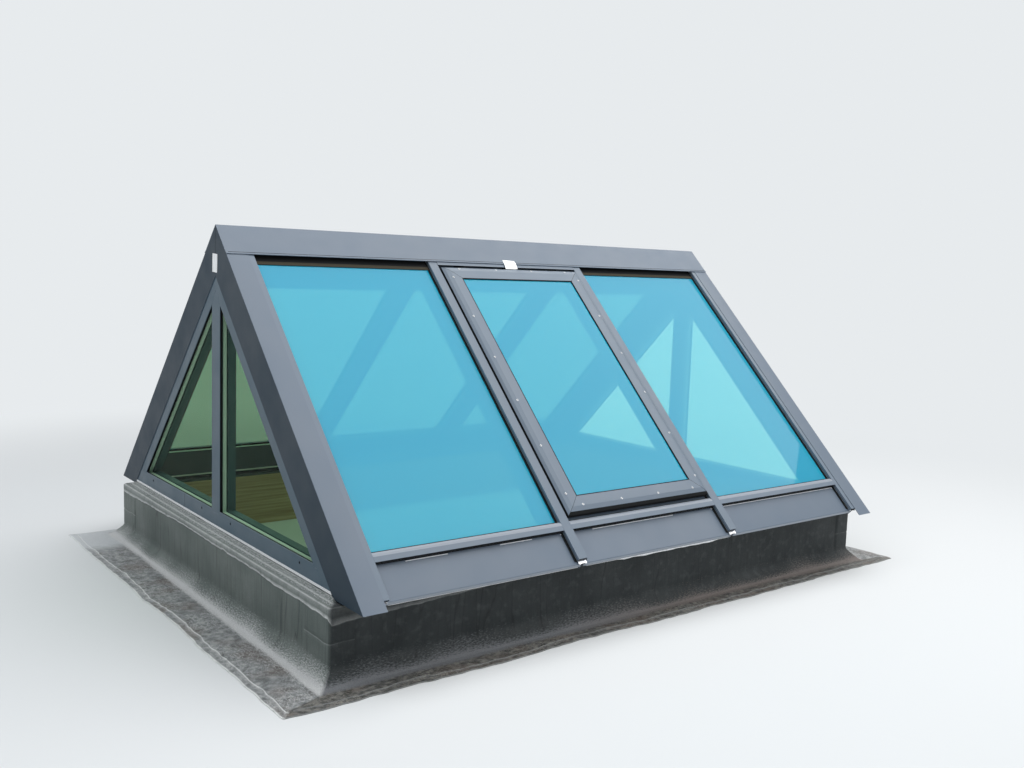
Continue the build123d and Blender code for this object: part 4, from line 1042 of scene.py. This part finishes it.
def bars(name, blocks, finish, body="frame"):
    """Straight bars, each from its eight corners."""
    faces = [tuple(8 * k + corner for corner in face) for k in range(len(blocks)) for face in BAR_FACES]
    mesh = new_mesh(name, [point for block in blocks for point in block], faces, finish)
    work = bmesh.new()
    work.from_mesh(mesh)
    bmesh.ops.recalc_face_normals(work, faces=work.faces)
    work.to_mesh(mesh)
    work.free()
    new_piece(name, mesh, body)
    print(name, len(blocks), "bars")


def slope_bar(across, down, depth, side=-1):
    return [on_slope(x, s, d, side) for x in across for s in down for d in depth]


bars("head_flashing", [slope_bar(*FLASHING)], sheet_coat)
for (side, word), spans in zip(SLOPES, (BARE_SPANS, BARE_SPANS[:2])):
    bars("bare_edges_" + word, [slope_bar(x, BARE_DOWN, BARE_DEPTH, side) for x in spans], sky_reflection_white)

# %% [markdown]
# A black gasket lip runs round the vent's glass; it is partly the gasket and partly painted shade under the
# cover's inner edge. Black bands lie beside the rafter caps, where the fixed glass goes under them, as
# painted shade and painted reflection of the caps' dark sides. The foam seal under the ridge cap has a brown
# edge where the sky lights it, a painted highlight, and black fills the end of each rafter's channel between
# its two ports as painted shade. A bright drip strip stands under each gable rail; its brightness is painted
# reflection.

# %% Lips, shade bands, seal edges, channel shade and drips
LIP_X, LIP_DEEP, LIP_HEAD, LIP_FOOT = (0.3700, 0.3740), (-0.0198, -0.0141), (0.3120, 0.3160), (1.6659, 1.6699)
BAND_WIDE, BAND_DOWN, FIXED_DEEP = 0.009, (0.190, 1.7759), (0.0212, 0.0240)
CAP_EDGES = {"front": (-0.518, 0.518), "rear": (-0.518, -0.468, 0.468, 0.518)}
SEAL_SPANS = {"front": ((-1.466, -0.520), (0.520, 1.466)),
              "rear": ((-1.466, -0.520), (0.520, 1.466), (-0.466, 0.466))}
SEAL_DOWN, SEAL_DEEP = (0.203, 0.2224), (0.0195, 0.0230)
CHANNEL_SHADE_WIDE, CHANNEL_SHADE_DOWN, CHANNEL_SHADE_DEEP = 0.010, (1.9830, 1.9844), (0.0150, 0.0184)
DRIP_X, DRIP_Y, DRIP_Z = (1.5972, 1.5992), (-1.250, 1.250), (0.3275, 0.3385)


def away_from_cap(edge):
    """A band's two edges across: the cap's edge, and a band's width away from the middle of the rafter."""
    outer = edge + math.copysign(BAND_WIDE, edge) * (1 if abs(edge) > abs(RAFTER_X[1]) else -1)
    return sorted((edge, outer))


# The lip is partly the gasket and partly painted shade under the cover's inner edge.
lips = [slope_bar(sorted(side * x for x in LIP_X), (LIP_HEAD[1], LIP_FOOT[0]), LIP_DEEP) for side in (-1, 1)]
lips += [slope_bar((-LIP_X[1], LIP_X[1]), down, LIP_DEEP) for down in (LIP_HEAD, LIP_FOOT)]
bars("sash_gasket_lip", lips, black_rubber_and_shade, "sash")
for side, word in SLOPES:
    # Black bands beside the caps: painted shade and painted reflection of the caps' dark sides.
    beside = [slope_bar(away_from_cap(x), BAND_DOWN, FIXED_DEEP, side) for x in CAP_EDGES[word]]
    # A brown strip where the sky lights the seal: painted highlight.
    seals = [slope_bar(x, SEAL_DOWN, SEAL_DEEP, side) for x in SEAL_SPANS[word]]
    # Black at the open end of each rafter's channel: painted shade.
    shade_ends = [slope_bar((x - CHANNEL_SHADE_WIDE, x + CHANNEL_SHADE_WIDE), CHANNEL_SHADE_DOWN, CHANNEL_SHADE_DEEP, side) for x in RAFTER_X]
    bars("cap_shade_bands_" + word, beside, black_rubber_and_shade)
    bars("seal_edges_" + word, seals, sunlit_seal_edge)
    bars("channel_shade_" + word, shade_ends, black_rubber_and_shade)
# The drips carry the painted reflection finish.
bars("sill_drips", [[(side * x, y, z) for x in DRIP_X for y in DRIP_Y for z in DRIP_Z] for side in (-1, 1)],
     sky_reflection_white)

# %% [markdown]
# Two pieces of pale tape were left on: one over the lower edge of the ridge cap, one at the peak of the
# gable. Under the lip of the aprons hangs what is left of a torn protective film. Tape and film are thin
# and slightly crumpled, so each is a small grid of points, bent by a smooth noise and then given its
# thickness.

# %% Thin sheets
SHEET_THICK, CRUMPLE, CRUMPLE_WAVES = 0.0003, 0.0005, 70


def tape_finish(name, colour, metallic):
    material, tree, surface = start_finish(name, colour, 0.38, metallic)
    creases = pattern(tree, 90.0, 4, stretch=(1, 1, 0.3))
    # The hollows of the creases are darker: painted shade.
    crease_shade = tuple(c * 0.86 for c in colour)
    tree.links.new(ramp(tree, creases, [(0.3, crease_shade), (0.6, colour)]), surface.inputs["Base Color"])
    bumped(tree, surface, creases, 0.0006, 0.5)
    return material


def thin_sheet(name, place, outward, counts, finish):
    """A crumpled sheet; place(u, v) gives its points for u and v from 0 to 1."""
    outward = Vector(outward).normalized()
    across, along = counts
    points = [place(j / across, i / along) for i in range(along + 1) for j in range(across + 1)]
    points = [point + outward * CRUMPLE * (1 + noise.noise(point * CRUMPLE_WAVES)) for point in points]
    row = across + 1
    faces = [(i * row + j, i * row + j + 1, (i + 1) * row + j + 1, (i + 1) * row + j)
             for i in range(along) for j in range(across)]
    mesh = new_mesh(name, points, faces, finish)
    if mesh.polygons[0].normal.dot(outward) < 0:
        mesh.flip_normals()
    for face in mesh.polygons:
        face.use_smooth = True
    thickened = new_piece(name, mesh, "frame").modifiers.new("thickness", "SOLIDIFY")
    thickened.thickness, thickened.offset = SHEET_THICK, 1
    print(name, len(faces), "faces")


# %% Tape and torn film
CAP_FACE, CAP_HEM, HEM_FROM, CAP_EDGE = -0.0044, -0.0064, 0.171, 0.1842
TAPE_FROM, TAPE_LONG, TAPE_LEFT, TAPE_WIDE = 0.154, 0.064, -0.026, 0.080
APRON_LIP = (1.9886, 0.0328)
MIDDLE_BAY, LEFT_BAY = (-0.468, 0.936), (-1.466, 0.95)  # where the film starts, and how far it goes
TORN_FROM, TORN_TO, TORN_FADE = -0.28, 0.40, 0.05


def over_cap(u, v):
    """Over the cap's hem and off its edge, bending down towards the vent."""
    down = TAPE_FROM + TAPE_LONG * v + 0.004 * u * (1 - v)
    if down < HEM_FROM:
        depth = CAP_FACE
    elif down < CAP_EDGE:
        depth = CAP_HEM
    else:
        depth = CAP_HEM + (down - CAP_EDGE) ** 2 * 4.0
    return on_slope(TAPE_LEFT + TAPE_WIDE * u - 0.007 * v * (1 - u) - 0.004 * v * u, down, depth)


def on_gable(u, v):
    return Vector((-1.6001, 0.036 - 0.060 * u - 0.003 * v, 1.537 + 0.086 * v - 0.004 * u))


def from_lip(x, hang):
    """A point that hangs under the front apron's lip."""
    return on_slope(x, *APRON_LIP) + Vector((0, -0.0004, -hang))


def torn(u, v):
    """Long in the middle and nearly gone at both ends, with an uneven lower edge."""
    x = MIDDLE_BAY[0] + MIDDLE_BAY[1] * u
    inside = max(0.0, min(1.0, (x - TORN_FROM) / TORN_FADE, (TORN_TO - x) / TORN_FADE))
    hang = 0.0012 + inside * (0.0045 + 0.0045 * noise.noise(Vector((x * 14, 3.1, 0))))
    return from_lip(x, hang * v)


def left_edge(u, v):
    x = LEFT_BAY[0] + LEFT_BAY[1] * u
    return from_lip(x, (0.0014 + 0.0008 * noise.noise(Vector((x * 9, 1, 0)))) * v)


pale_tape = tape_finish("pale_tape", (0.92, 0.93, 0.94), 0.6)
torn_film = tape_finish("torn_film", (0.78, 0.80, 0.82), 0.0)
thin_sheet("ridge_tape", over_cap, (0, -SLOPE, SLOPE), (10, 32), pale_tape)
thin_sheet("gable_tape", on_gable, (-1, 0, 0), (10, 16), pale_tape)
thin_sheet("torn_film_middle", torn, (0, -1, 0), (160, 2), torn_film)
thin_sheet("torn_film_left", left_edge, (0, -1, 0), (120, 2), torn_film)
